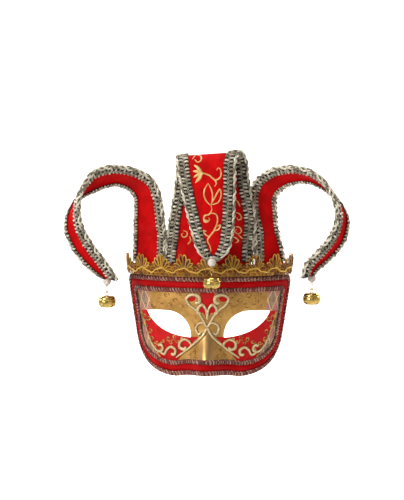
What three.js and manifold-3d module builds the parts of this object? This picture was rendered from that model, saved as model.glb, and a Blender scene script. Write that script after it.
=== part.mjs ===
// Jester half mask: a moulded face with trimmed edge, gold lace, three braided cloth horns and bells.
// Millimetres, +Z up, the wearer looks along -Y, origin on the inner face at the bridge of the nose.
import * as THREE from 'three';
import { mergeVertices } from 'three/addons/utils/BufferGeometryUtils.js';
import Module from 'manifold-3d';

const wasm = await Module();
wasm.setup();

// Moulded face
const faceWall = 1.6;
const browRadius = 89;
const chinRadius = 73;
const faceDepth = 66;
const girthRadius = 77;
const faceHalfGirth = 97.5;
const browLevel = 44;
const bandTop = 49.6;
const faceTop = 60;
const chinLevel = -55;
const cheekReach = 62;
const cheekDrop = 42;
const templeCorner = 9;
const tabHalfGirth = 84;
const foreheadLean = 3.2;
const noseHeight = 17;
const noseNotch = 3;
const noseHalfWidth = 21;
const bridgeHalfWidth = 9;
const noseDrop = 44;
const noseFeather = 1.2;
const socketDepth = 4;
const eyeInner = 17.5;
const eyeWidth = 47.5;
const eyeLow = -13.5;
const eyeHeight = 26.6;
const faceColumns = 24;
const faceRows = 12;

// Clearances between touching pieces
const seatGap = 0.3;
const clothGap = 0.5;
const scrollGap = 1.2;
const cheekScrollGap = 0.8;
const trimGap = 0.95;
const laceGap = 1.9;
const braidGap = 0.55;

// Edge trim, laid on the face from the rim inwards
const gimpWidth = 5.2;
const gimpHeight = 2.2;
const ribbonWidth = 5.4;
const ribbonHeight = 1.2;
const rimMargin = 0.4;
const trimBevel = 0.12;
const chinStep = 4;
const rimStep = 13;

// Gold lace
const laceThickness = 1;
const laceHeight = 26;
const laceBand = 9;
const laceHalfGirth = 93;
const fanPitch = 23;
const teethPerFan = 3;
const fanGap = 5;
const loopOpening = 1.8;
const loopBorder = 3;
const toothFoot = 0.5;
const toothHead = 0.3;
const fanDroop = 0.18;

// Horns
const panelThickness = 1.6;
const braidWall = 0.9;
const narrowBraid = 5;
const wideBraid = 9.5;
const centreBraid = 12;
const sideReach = 146;
const sideRise = 165;
const sideDepth = 34;
const centreReach = 50;
const centreRise = 185;
const centreDepth = 24;
const hornSteps = 17;
const clingFade = 30;
const clingShare = 0.3;
const braidStart = 3;

// Drops: pearl, wire pin and bell
const pearlRadius = 4.4;
const wireRadius = 0.5;
const eyeLoopRadius = 1.9;
const eyeLoopLength = 3.4;
const shankRadius = 2.2;
const shankSink = 0.8;
const bellRadius = 9.4;
const bellHeight = 13;
const bellWall = 0.8;
const seamStand = 0.6;
const seamHeight = 1.3;
const slotWidth = 2;
const slotLength = 14;
const wireSides = 5;
const ringSides = 10;

// Raised scrolls
const scrollHalfWidth = 1.1;
const scrollHeight = 1.3;
const scrollStep = 4.8;

const gold = { color: 0xb9914f, roughness: 0.42, metalness: 0.55 };
const champagne = { color: 0xd2bd8a, roughness: 0.5, metalness: 0.4 };
const redCloth = { color: 0xc4060b, roughness: 0.7, metalness: 0 };
const redSatin = { color: 0xc4151c, roughness: 0.4, metalness: 0 };
const silverBraid = { color: 0x968c78, roughness: 0.55, metalness: 0.3 };
const wineGimp = { color: 0x784641, roughness: 0.7, metalness: 0.1 };
const goldLace = { color: 0xbe8c28, roughness: 0.5, metalness: 0.4 };
const pearlWhite = { color: 0xf3ece6, roughness: 0.25, metalness: 0 };
const brass = { color: 0xe0c878, roughness: 0.15, metalness: 1 };

// Each row is a station along a horn: its two edges as shares of reach, depth and rise, and its bow of depth
const leftHornRows = [
  { ax: -0.535, ay: 0.85, az: 0.33, bx: -0.31, by: 0.2, bz: 0.33, bow: 0 },
  { ax: -0.53, ay: 0.7, az: 0.59, bx: -0.306, by: 0.12, bz: 0.6, bow: 0 },
  { ax: -0.535, ay: 0.5, az: 0.81, bx: -0.376, by: -0.1, bz: 0.9, bow: 0 },
  { ax: -0.65, ay: 0.2, az: 0.875, bx: -0.555, by: -0.35, bz: 0.99, bow: 0 },
  { ax: -0.795, ay: -0.1, az: 0.84, bx: -0.775, by: -0.68, bz: 0.975, bow: 0 },
  { ax: -0.935, ay: -0.26, az: 0.77, bx: -0.88, by: -0.97, bz: 0.83, bow: 0 },
  { ax: -1, ay: -0.38, az: 0.62, bx: -0.875, by: -0.9, bz: 0.65, bow: 0 },
  { ax: -0.95, ay: -0.32, az: 0.48, bx: -0.81, by: -0.63, bz: 0.52, bow: 0 },
  { ax: -0.84, ay: -0.15, az: 0.355, bx: -0.713, by: -0.38, bz: 0.395, bow: 0 },
  { ax: -0.745, ay: -0.03, az: 0.293, bx: -0.632, by: -0.26, bz: 0.28, bow: 0 },
];
const rightHornRows = [
  { ax: 0.545, ay: 0.88, az: 0.33, bx: 0.338, by: 0.24, bz: 0.33, bow: 0 },
  { ax: 0.495, ay: 0.7, az: 0.59, bx: 0.328, by: 0.4, bz: 0.58, bow: 0 },
  { ax: 0.488, ay: 0.58, az: 0.7, bx: 0.298, by: 0.48, bz: 0.73, bow: 0 },
  { ax: 0.49, ay: 0.45, az: 0.8, bx: 0.312, by: 0.36, bz: 0.87, bow: 0 },
  { ax: 0.56, ay: 0.32, az: 0.865, bx: 0.42, by: 0.02, bz: 0.965, bow: 0 },
  { ax: 0.685, ay: 0.09, az: 0.897, bx: 0.6, by: -0.47, bz: 1, bow: 0 },
  { ax: 0.8, ay: -0.12, az: 0.87, bx: 0.76, by: -0.7, bz: 0.9625, bow: 0 },
  { ax: 0.91, ay: -0.24, az: 0.795, bx: 0.873, by: -0.91, bz: 0.85, bow: 0 },
  { ax: 0.99, ay: -0.35, az: 0.677, bx: 0.916, by: -0.97, bz: 0.712, bow: 0 },
  { ax: 0.973, ay: -0.32, az: 0.54, bx: 0.87, by: -0.72, bz: 0.576, bow: 0 },
  { ax: 0.887, ay: -0.235, az: 0.434, bx: 0.785, by: -0.56, bz: 0.48, bow: 0 },
  { ax: 0.8, ay: -0.13, az: 0.362, bx: 0.695, by: -0.37, bz: 0.39, bow: 0 },
  { ax: 0.757, ay: -0.07, az: 0.322, bx: 0.672, by: -0.26, bz: 0.3, bow: 0 },
];
const centreHornRows = [
  { ax: -0.9, ay: 0.28, az: 0.287, bx: 0.92, by: 0.28, bz: 0.287, bow: -0.3 },
  { ax: -0.86, ay: 0.26, az: 0.42, bx: 0.93, by: 0.26, bz: 0.45, bow: -0.3 },
  { ax: -0.8, ay: 0.24, az: 0.56, bx: 0.99, by: 0.22, bz: 0.58, bow: -0.25 },
  { ax: -0.67, ay: 0.22, az: 0.77, bx: 0.87, by: 0.2, bz: 0.77, bow: -0.12 },
  { ax: -0.62, ay: 0.16, az: 0.915, bx: 0.78, by: 0.16, bz: 0.94, bow: 0 },
  { ax: -0.61, ay: -0.2, az: 0.943, bx: 0.68, by: -0.2, bz: 0.968, bow: 0 },
  { ax: -0.6, ay: -0.66, az: 0.91, bx: 0.6, by: -0.66, bz: 0.925, bow: 0.05 },
  { ax: -0.48, ay: -0.8, az: 0.745, bx: 0.58, by: -0.8, bz: 0.745, bow: 0.12 },
  { ax: -0.28, ay: -0.75, az: 0.52, bx: 0.53, by: -0.75, bz: 0.52, bow: 0.12 },
  { ax: -0.16, ay: -0.66, az: 0.42, bx: 0.43, by: -0.66, bz: 0.42, bow: 0.08 },
  { ax: 0.05, ay: -0.6, az: 0.36, bx: 0.18, by: -0.6, bz: 0.36, bow: 0 },
];

// Scroll lines of one side, as shares of the eye's width and height measured from the bridge
const centreScrolls = [
  // upper scroll, from the crossing to its curled end
  [[0, -0.12], [0.21, 0.5], [0.41, 0.8], [0.455, 1.02], [0.33, 1.165], [0.18, 1.07], [0.18, 0.87], [0.27, 0.84]],
  // inner heart
  [[0, 0.2], [0.03, 0.6], [0.115, 0.78], [0.205, 0.6], [0.2, 0.46]],
  // loop beside the crossing
  [[0, -0.12], [0.08, 0.06], [0.18, 0.04], [0.25, -0.16], [0.18, -0.38]],
  // long diagonal beside the nose
  [[0, -0.12], [0.1, -0.45], [0.36, -0.88], [0.69, -1.33]],
  // curl under the eye
  [[0.34, -0.87], [0.38, -0.7], [0.49, -0.6], [0.6, -0.72], [0.6, -0.92], [0.5, -0.98]],
];
const cheekScrolls = [
  // side line and its end curl
  [[1.37, -0.25], [1.29, -0.68], [1.18, -1.0], [1.06, -1.13], [0.98, -1.02], [1.02, -0.86], [1.1, -0.9]],
  // lower loop
  [[1.06, -1.13], [0.95, -1.22], [0.89, -1.03], [0.8, -0.92], [0.7, -1.02], [0.72, -1.2]],
];

function planRadius(z) {
  return THREE.MathUtils.mapLinear(z, chinLevel, browLevel, chinRadius, browRadius);
}

function girthAt(x, z) {
  return girthRadius * Math.asin(THREE.MathUtils.clamp(x / planRadius(z), -1, 1));
}

// The nose swells from the bridge down to its tip, as a raised cosine across
function noseSwell(x, z) {
  const down = THREE.MathUtils.smoothstep(-z, 0, noseDrop);
  const halfWidth = THREE.MathUtils.lerp(bridgeHalfWidth, noseHalfWidth, down) * noseFeather;
  const across = Math.min(1, Math.abs(x) / halfWidth);
  return noseHeight * down * (1 + Math.cos(Math.PI * across)) / 2;
}

// Each eye socket is a shallow hollow round the middle of its eye hole
function socketHollow(x, z) {
  const fromMiddle = (Math.abs(x) - eyeInner - eyeWidth / 2) / (eyeWidth / 2);
  const fromLevel = (z - eyeLow - eyeHeight * 0.6) / (eyeHeight / 2);
  return socketDepth * Math.exp(-(fromMiddle ** 2) - fromLevel ** 2);
}

const bridgeRecess = socketHollow(0, 0);

// Outer face of the mask at a distance round the face from the middle line, and a height
function skin(girth, z) {
  const turn = girth / girthRadius;
  const x = planRadius(z) * Math.sin(turn);
  const round = faceDepth * (1 - Math.cos(turn));
  const lean = foreheadLean * (Math.max(z, 0) / browLevel) ** 2;
  const y = round + lean - noseSwell(x, z) + socketHollow(x, z) - bridgeRecess - faceWall;
  return new THREE.Vector3(x, y, z);
}

// A point at a height above the outer face, measured along the face's own normal
function onFace(girth, z, up) {
  const reach = 0.5;
  const across = skin(girth + reach, z).sub(skin(girth - reach, z));
  const rise = skin(girth, z + reach).sub(skin(girth, z - reach));
  return skin(girth, z).addScaledVector(across.cross(rise).normalize(), up);
}

function signedVolume(geometry) {
  const position = geometry.attributes.position;
  const index = geometry.index;
  const corners = [new THREE.Vector3(), new THREE.Vector3(), new THREE.Vector3()];
  let sum = 0;
  for (let i = 0; i < index.count; i += 3) {
    corners.forEach((corner, k) => corner.fromBufferAttribute(position, index.getX(i + k)));
    sum += corners[0].dot(corners[1].cross(corners[2]));
  }
  return sum / 6;
}

// Shares each corner between its faces and turns the faces outwards
function welded(geometry) {
  geometry.deleteAttribute('normal');
  geometry.deleteAttribute('uv');
  const merged = mergeVertices(geometry, 1e-4);
  if (signedVolume(merged) < 0) {
    const index = merged.index;
    for (let i = 0; i < index.count; i += 3) {
      const first = index.getX(i);
      index.setX(i, index.getX(i + 1));
      index.setX(i + 1, first);
    }
  }
  return merged;
}

// Moves every point of a primitive through a placing function of its own coordinates
function bent(geometry, place) {
  const position = geometry.attributes.position;
  const point = new THREE.Vector3();
  for (let i = 0; i < position.count; i += 1) {
    point.fromBufferAttribute(position, i);
    const placed = place(point);
    position.setXYZ(i, placed.x, placed.y, placed.z);
  }
  return welded(geometry);
}

function toSolid(geometry) {
  const closed = welded(geometry.clone());
  return new wasm.Manifold(new wasm.Mesh({
    numProp: 3,
    vertProperties: new Float32Array(closed.attributes.position.array),
    triVerts: new Uint32Array(closed.index.array),
  }));
}

function toGeometry(solid) {
  const mesh = solid.getMesh();
  const geometry = new THREE.BufferGeometry();
  geometry.setAttribute('position', new THREE.BufferAttribute(mesh.vertProperties, 3));
  geometry.setIndex(new THREE.BufferAttribute(mesh.triVerts, 1));
  return geometry;
}

function joined(geometries) {
  return toGeometry(geometries.map(toSolid).reduce((whole, piece) => whole.add(piece)));
}

function cut(geometry, cutters) {
  return toGeometry(cutters.map(toSolid).reduce((whole, cutter) => whole.subtract(cutter), toSolid(geometry)));
}

function piece(name, geometry, finish) {
  const mesh = new THREE.Mesh(geometry, new THREE.MeshStandardMaterial(finish));
  mesh.name = name;
  mesh.geometry.computeVertexNormals();
  return mesh;
}

// Outline of the face at an inset from its rim: girth across, height up; a tab runs on behind the lace
function faceOutline(Kind, inset, withTab) {
  const side = faceHalfGirth - inset;
  const top = bandTop - inset;
  const low = chinLevel + inset;
  const chinHalf = faceHalfGirth - cheekReach;
  const cheekMiddle = chinLevel + cheekDrop;
  const corner = templeCorner - inset / 3;
  const outline = new Kind();
  outline.moveTo(-chinHalf, low);
  outline.quadraticCurveTo(0, low + 2 * noseNotch, chinHalf, low);
  outline.absellipse(chinHalf, cheekMiddle, cheekReach - inset, cheekDrop - inset, -Math.PI / 2, 0, false);
  outline.lineTo(side, top - corner);
  outline.absarc(side - corner, top - corner, corner, 0, Math.PI / 2, false);
  if (withTab) {
    outline.lineTo(tabHalfGirth, top);
    outline.lineTo(tabHalfGirth, faceTop);
    outline.lineTo(-tabHalfGirth, faceTop);
    outline.lineTo(-tabHalfGirth, top);
  }
  outline.lineTo(corner - side, top);
  outline.absarc(corner - side, top - corner, corner, Math.PI / 2, Math.PI, false);
  outline.lineTo(-side, cheekMiddle);
  outline.absellipse(-chinHalf, cheekMiddle, cheekReach - inset, cheekDrop - inset, Math.PI, Math.PI * 1.5, false);
  return outline;
}

// A prism through the whole mask, front to back, of a shape seen from the front
function throughCut(shape) {
  const length = 3 * faceDepth;
  const prism = new THREE.ExtrudeGeometry(shape, { depth: length, bevelEnabled: false, curveSegments: 8 });
  prism.rotateX(Math.PI / 2);
  prism.translate(0, length / 2, 0);
  return prism;
}

function faceOutlinePrism() {
  const flat = faceOutline(THREE.Shape, 0, true).getPoints(8);
  const seen = flat.map((p) => new THREE.Vector2(planRadius(p.y) * Math.sin(p.x / girthRadius), p.y));
  return throughCut(new THREE.Shape(seen));
}

function eyePrism(side) {
  const x = (share) => side * (eyeInner + share * eyeWidth);
  const z = (share) => eyeLow + share * eyeHeight;
  const eye = new THREE.Shape();
  eye.moveTo(x(0), z(0));
  eye.bezierCurveTo(x(-0.02), z(0.42), x(0.14), z(0.9), x(0.45), z(1));
  eye.bezierCurveTo(x(0.62), z(1.03), x(0.86), z(1), x(1), z(0.96));
  eye.bezierCurveTo(x(0.9), z(0.5), x(0.6), z(0.06), x(0), z(0));
  return throughCut(eye);
}

// The face is a grid, finer towards the nose, trimmed to its outline
function faceGeometry() {
  const margin = 4;
  const grid = new THREE.BoxGeometry(2, 1, 1, faceColumns, 1, faceRows);
  const sheet = bent(grid, (p) => {
    const girth = (faceHalfGirth + margin) * (0.5 * p.x + 0.5 * p.x * Math.abs(p.x));
    const z = THREE.MathUtils.lerp(chinLevel - margin, faceTop + margin, p.z + 0.5);
    return onFace(girth, z, -faceWall * (p.y + 0.5));
  });
  const whole = toSolid(sheet).intersect(toSolid(faceOutlinePrism()));
  return cut(toGeometry(whole), [eyePrism(1), eyePrism(-1)]);
}

// The stretches of the rim line at an inset, without the empty ones that join arcs
function rimStretches(inset) {
  return faceOutline(THREE.Path, inset, false).curves.filter((curve) => curve.getLength() > 0.01);
}

// Stations round the rim, alike on every inset line: a stretch of the outline and a share along it
function rimStations() {
  return rimStretches(0).flatMap((curve, stretch) => {
    const count = Math.ceil(curve.getLength() / (stretch === 0 ? chinStep : rimStep));
    return Array.from({ length: count }, (_, i) => ({ stretch, share: i / count }));
  });
}

// One closed strip laid on the face round its rim, between two insets
function trimGeometry(inset, width, height) {
  const stations = rimStations();
  const section = [
    { inset, up: 0 },
    { inset: inset + trimBevel * width, up: height },
    { inset: inset + (1 - trimBevel) * width, up: height },
    { inset: inset + width, up: 0 },
  ];
  const lines = section.map((corner) => rimStretches(corner.inset));
  const ring = new THREE.TorusGeometry(1, 0.5, section.length, stations.length);
  const position = ring.attributes.position;
  const uv = ring.attributes.uv;
  for (let i = 0; i < position.count; i += 1) {
    const station = stations[Math.round(uv.getX(i) * stations.length) % stations.length];
    const corner = Math.round(uv.getY(i) * section.length) % section.length;
    const flat = lines[corner][station.stretch].getPoint(station.share);
    const placed = onFace(flat.x, flat.y, trimGap + section[corner].up);
    position.setXYZ(i, placed.x, placed.y, placed.z);
  }
  return welded(ring);
}

// Rim trim: gimp, satin ribbon, gimp, each a seat gap from the next
function trimPieces() {
  const outerInset = rimMargin;
  const ribbonInset = outerInset + gimpWidth + seatGap;
  const innerInset = ribbonInset + ribbonWidth + seatGap;
  return [
    piece('outer_gimp', trimGeometry(outerInset, gimpWidth, gimpHeight), wineGimp),
    piece('rim_ribbon', trimGeometry(ribbonInset, ribbonWidth, ribbonHeight), redSatin),
    piece('inner_gimp', trimGeometry(innerInset, gimpWidth, gimpHeight), wineGimp),
  ];
}

// Height of the lace's edge: fans of rounded loops, the middle ones taller
const laceRise = clothGap + panelThickness + braidGap + braidWall + laceGap;
const fanCount = Math.round(2 * laceHalfGirth / fanPitch);
const fanWidth = 2 * laceHalfGirth / fanCount;
const toothPitch = (fanWidth - fanGap) / teethPerFan;

function laceTeeth() {
  const teeth = [];
  for (let fan = 0; fan < fanCount; fan += 1) {
    for (let tooth = 0; tooth < teethPerFan; tooth += 1) {
      const fromMiddle = (tooth - (teethPerFan - 1) / 2) / ((teethPerFan - 1) / 2);
      const girth = -laceHalfGirth + (fan + 0.5) * fanWidth + (tooth - (teethPerFan - 1) / 2) * toothPitch;
      const height = laceHeight * (1 - fanDroop * Math.abs(fromMiddle));
      teeth.push({ girth, height, lastOfFan: tooth === teethPerFan - 1 });
    }
  }
  return teeth;
}

function laceGeometry() {
  const teeth = laceTeeth();
  const edge = [{ girth: -laceHalfGirth, height: laceBand }];
  teeth.forEach(({ girth, height, lastOfFan }) => {
    edge.push({ girth: girth - toothPitch * toothFoot, height: laceBand });
    edge.push({ girth: girth - toothPitch * toothHead, height });
    edge.push({ girth: girth + toothPitch * toothHead, height });
    if (lastOfFan) {
      edge.push({ girth: girth + toothPitch * toothFoot, height: laceBand });
    }
  });
  edge.push({ girth: laceHalfGirth, height: laceBand });
  const grid = new THREE.BoxGeometry(edge.length - 1, 1, 1, edge.length - 1, 1, 1);
  const strip = bent(grid, (p) => {
    const station = edge[Math.round(p.x + (edge.length - 1) / 2)];
    const z = bandTop + seatGap + (p.z > 0 ? station.height : 0);
    return onFace(station.girth, z, laceRise + (p.y < 0 ? laceThickness : 0));
  });
  const openings = teeth.map(({ girth, height }) => {
    const hole = new THREE.BoxGeometry(1, 1, 1);
    return bent(hole, (p) => {
      const z = bandTop + (p.z > 0 ? height - loopBorder : laceBand - loopBorder / 2);
      return onFace(girth + p.x * loopOpening, z, laceRise + laceThickness / 2 - 4 * laceThickness * p.y);
    });
  });
  return cut(strip, openings);
}

// A horn is a strip of cloth between two edge curves, lying on the face at its foot
function hornStrip(rows, reach, depth, rise) {
  const edgeA = new THREE.CatmullRomCurve3(rows.map((r) => new THREE.Vector3(r.ax * reach, r.ay * depth, r.az * rise)));
  const edgeB = new THREE.CatmullRomCurve3(rows.map((r) => new THREE.Vector3(r.bx * reach, r.by * depth, r.bz * rise)));
  const bows = new THREE.CatmullRomCurve3(rows.map((r) => new THREE.Vector3(r.bow * depth, 0, 0)));
  const laceTop = bandTop + laceHeight;
  const widthAt = (share) => edgeA.getPoint(share).distanceTo(edgeB.getPoint(share));

  function middlePoint(across, share) {
    const a = edgeA.getPoint(share);
    const b = edgeB.getPoint(share);
    const free = a.clone().lerp(b, (across + 1) / 2);
    const ahead = Math.min(1, share + 0.01);
    const back = Math.max(0, share - 0.01);
    const along = edgeA.getPoint(ahead).add(edgeB.getPoint(ahead)).sub(edgeA.getPoint(back)).sub(edgeB.getPoint(back));
    const normal = along.cross(b.clone().sub(a)).normalize();
    free.addScaledVector(normal, bows.getPoint(share).x * (1 - across * across));
    const cling = share > clingShare ? 0 : 1 - THREE.MathUtils.smoothstep(free.z, laceTop, laceTop + clingFade);
    if (cling === 0) {
      return free;
    }
    const laid = onFace(girthAt(free.x, free.z), free.z, clothGap + panelThickness / 2);
    return free.lerp(laid, cling);
  }

  // A point in the strip: millimetres across from the middle line, share along, millimetres up its normal
  function place(acrossLength, share, up) {
    const half = widthAt(share) / 2;
    const across = acrossLength / half;
    const step = 0.02;
    const along = middlePoint(across, Math.min(1, share + step)).sub(middlePoint(across, Math.max(0, share - step)));
    const sideways = middlePoint(across + step, share).sub(middlePoint(across - step, share));
    return middlePoint(across, share).addScaledVector(along.cross(sideways).normalize(), up);
  }

  // The braid starts where the strip clears the top of the face
  let start = 0;
  while (middlePoint(0, start).z < faceTop + braidStart && start < clingShare) {
    start += 0.002;
  }
  const shares = [0];
  for (let i = 0; i <= hornSteps; i += 1) {
    shares.push(THREE.MathUtils.lerp(start, 1, i / hornSteps));
  }
  return { place, widthAt, shares };
}

// Lines across the panel: its two edges, the braids' inner edges, and even steps between those
function panelLines(half, braids, columns) {
  const edge = half - braidWall - braidGap;
  const from = Math.min(braids.outer, half - seatGap) - half;
  const to = half - Math.min(braids.inner, half - seatGap);
  const between = Array.from({ length: columns + 1 }, (_, i) => THREE.MathUtils.lerp(from, to, i / columns));
  return [-edge, ...between, edge];
}

function panelGeometry(strip, braids, columns) {
  const rows = strip.shares.length - 1;
  const spans = columns + 2;
  const grid = new THREE.BoxGeometry(spans, 1, rows, spans, 1, rows);
  return bent(grid, (p) => {
    const share = strip.shares[Math.round(p.z + rows / 2)];
    const lines = panelLines(strip.widthAt(share) / 2, braids, columns);
    return strip.place(lines[Math.round(p.x + spans / 2)], share, p.y * panelThickness);
  });
}

// The braid is folded over one edge of the strip, as a channel; the second edge's runs from the tip back,
// so that its facets split the same way as the panel's
function braidGeometry(strip, side, braidWidth) {
  const inner = panelThickness / 2 + braidGap;
  const outer = inner + braidWall;
  const section = new THREE.Shape([
    new THREE.Vector2(1, outer),
    new THREE.Vector2(0, outer),
    new THREE.Vector2(0, -outer),
    new THREE.Vector2(1, -outer),
    new THREE.Vector2(1, -inner),
    new THREE.Vector2(0.1, -inner),
    new THREE.Vector2(0.1, inner),
    new THREE.Vector2(1, inner),
  ]);
  const bar = new THREE.ExtrudeGeometry(section, { depth: hornSteps, steps: hornSteps, bevelEnabled: false });
  return bent(bar, (p) => {
    const step = Math.round(side < 0 ? p.z : hornSteps - p.z);
    const share = strip.shares[step + 1];
    const half = strip.widthAt(share) / 2;
    const width = Math.min(braidWidth, half - seatGap);
    let fromEdge = p.x * width;
    if (p.x > 0 && p.x < 1) {
      fromEdge = braidWall;
    }
    return strip.place(side * (half - fromEdge), share, p.y);
  });
}

function hornPieces(name, strip, columns, braids) {
  return [
    piece(`${name}_horn`, panelGeometry(strip, braids, columns), redCloth),
    piece(`${name}_horn_outer_braid`, braidGeometry(strip, -1, braids.outer), silverBraid),
    piece(`${name}_horn_inner_braid`, braidGeometry(strip, 1, braids.inner), silverBraid),
  ];
}

// A drilled pearl, its middle at the drop's own origin
function pearlGeometry() {
  const ball = new THREE.SphereGeometry(pearlRadius, ringSides, 7);
  ball.rotateX(Math.PI / 2);
  const bore = new THREE.CylinderGeometry(wireRadius + seatGap, wireRadius + seatGap, 3 * pearlRadius, 8);
  bore.rotateX(Math.PI / 2);
  return cut(ball, [bore]);
}

// The wire pin runs through the pearl and ends below it in a long eye
const eyeTop = -pearlRadius - 0.2;
const eyeWire = eyeTop - eyeLoopLength - 2 * eyeLoopRadius;

function pinGeometry() {
  const eye = new THREE.TorusGeometry(eyeLoopRadius, wireRadius, wireSides, ringSides);
  eye.rotateX(Math.PI / 2);
  const loop = bent(eye, (p) => {
    const raised = p.z > 0.01 ? eyeLoopLength : 0;
    return new THREE.Vector3(p.x, p.y, p.z + eyeWire + eyeLoopRadius + raised);
  });
  const stemLength = pearlRadius - eyeTop;
  const stem = new THREE.CylinderGeometry(wireRadius, wireRadius, stemLength, wireSides);
  stem.rotateX(Math.PI / 2);
  stem.translate(0, 0, eyeTop + stemLength / 2);
  return joined([loop, stem]);
}

const shankMiddle = eyeWire + wireRadius + seatGap - (shankRadius - wireRadius);
const bellTop = shankMiddle - shankRadius - wireRadius + shankSink;
const bellMiddle = bellTop - bellHeight / 2;

// Half profile of a flattened bell, from its lowest point on the axis to its highest
function bellProfile(radius, half, seam) {
  const low = [
    { out: 0, up: -1 },
    { out: 0.72, up: -0.92 },
    { out: 1, up: -0.42 },
  ].map((p) => new THREE.Vector2(p.out * radius, p.up * half));
  const high = low.map((p) => new THREE.Vector2(p.x, -p.y)).reverse();
  const ridge = seam > 0 ? [
    new THREE.Vector2(radius, seamHeight / 2),
    new THREE.Vector2(radius + seam, seamHeight / 2),
    new THREE.Vector2(radius + seam, seamHeight * 1.5),
    new THREE.Vector2(radius, seamHeight * 1.5),
  ] : [];
  return [...low, ...ridge, ...high];
}

function bellGeometry() {
  const shell = new THREE.LatheGeometry(bellProfile(bellRadius, bellHeight / 2, seamStand), ringSides);
  const hollow = new THREE.LatheGeometry(bellProfile(bellRadius - bellWall, bellHeight / 2 - bellWall, 0), ringSides);
  [shell, hollow].forEach((g) => g.rotateX(Math.PI / 2));
  const slots = [[slotLength, slotWidth], [slotWidth, slotLength]].map(([long, wide]) => {
    const slot = new THREE.BoxGeometry(long, wide, bellHeight / 2);
    return slot.translate(0, 0, -bellHeight * 0.5);
  });
  const body = cut(shell, [hollow, ...slots]);
  body.translate(0, 0, bellMiddle);
  const shank = new THREE.TorusGeometry(shankRadius, wireRadius, wireSides, ringSides);
  shank.rotateY(Math.PI / 2);
  shank.translate(0, 0, shankMiddle);
  const room = new THREE.CylinderGeometry(shankRadius * 2, shankRadius * 2, bellHeight, 12);
  room.rotateX(Math.PI / 2);
  room.translate(0, 0, bellTop - bellWall / 2 - bellHeight / 2);
  return joined([body, cut(shank, [room])]);
}

// A drop hangs from its pearl, turned about the upright line through it
function drop(name, middle, turn) {
  const group = new THREE.Group();
  group.position.copy(middle);
  group.rotation.z = turn;
  group.add(
    piece(`${name}_pearl`, pearlGeometry(), pearlWhite),
    piece(`${name}_pin`, pinGeometry(), brass),
    piece(`${name}_bell`, bellGeometry(), brass),
  );
  return group;
}

// A raised line of three-cornered section on the face, through points given as shares of the eye's size
function scrollLine(points, side, gap) {
  const flat = points.map(([across, up]) => {
    const x = side * across * eyeWidth;
    const z = up * eyeHeight;
    return new THREE.Vector3(girthAt(x, z), z, 0);
  });
  const curve = new THREE.CatmullRomCurve3(flat);
  const steps = Math.ceil(curve.getLength() / scrollStep);
  const bar = new THREE.CylinderGeometry(1, 1, steps, 3, steps);
  return bent(bar, (p) => {
    const share = THREE.MathUtils.clamp(p.y / steps + 0.5, 0, 1);
    const middle = curve.getPointAt(share);
    const along = curve.getTangentAt(share);
    const across = scrollHalfWidth * Math.sign(Math.round(p.x * 9));
    const up = gap + (p.z > 0.1 ? scrollHeight : 0);
    return onFace(middle.x + across * along.y, middle.y - across * along.x, up);
  });
}

function scrollPieces() {
  const centre = [1, -1].flatMap((side) => centreScrolls.map((points) => scrollLine(points, side, scrollGap)));
  const cheeks = [1, -1].map((side) => {
    const lines = cheekScrolls.map((points) => scrollLine(points, side, cheekScrollGap));
    return joined(lines);
  });
  return [
    piece('face_scroll', joined(centre), champagne),
    piece('right_cheek_scroll', cheeks[0], champagne),
    piece('left_cheek_scroll', cheeks[1], champagne),
  ];
}

const leftStrip = hornStrip(leftHornRows, sideReach, sideDepth, sideRise);
const rightStrip = hornStrip(rightHornRows, sideReach, sideDepth, sideRise);
const centreStrip = hornStrip(centreHornRows, centreReach, centreDepth, centreRise);

const braidHalf = panelThickness / 2 + braidGap + braidWall;

// Where a pearl sits at the end of a side horn, towards its outer edge and square off the line of its end
function underTip(strip, share) {
  const half = strip.widthAt(1) / 2;
  const end = strip.place(share * half, 1, 0);
  const across = strip.place(half, 1, 0).sub(strip.place(-half, 1, 0));
  const normal = strip.place(share * half, 1, 1).sub(end);
  const away = across.cross(normal).normalize();
  return end.addScaledVector(away, -Math.sign(away.z) * (pearlRadius + seatGap));
}

// The middle pearl lies on the front of the centre horn's tip
function onTip(strip) {
  const stand = braidHalf + clothGap + pearlRadius;
  return strip.place(0, 1, stand).add(new THREE.Vector3(0, 0, pearlRadius / 2));
}

const mask = new THREE.Group();
mask.add(piece('mask_face', faceGeometry(), gold));
mask.add(...trimPieces());
mask.add(piece('gold_lace', laceGeometry(), goldLace));
mask.add(...scrollPieces());
mask.add(...hornPieces('left', leftStrip, 2, { outer: narrowBraid, inner: wideBraid }));
mask.add(...hornPieces('right', rightStrip, 2, { outer: narrowBraid, inner: wideBraid }));
mask.add(...hornPieces('centre', centreStrip, 4, { outer: centreBraid, inner: centreBraid }));
mask.add(drop('left', underTip(leftStrip, -0.6), Math.PI / 4));
mask.add(drop('right', underTip(rightStrip, -0.7), -Math.PI / 4));
mask.add(drop('centre', onTip(centreStrip), 0));

export default mask;
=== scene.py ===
"""Looks of a jester half mask: painted shell, raised scrolls, edge trim, lace, braided horns and bells.

Shapes are worked out in millimetres and put into their meshes in metres, in the frame's own axes.
"""
import math

import bpy
import numpy as np
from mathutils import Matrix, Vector
from mathutils.geometry import delaunay_2d_cdt


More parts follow.
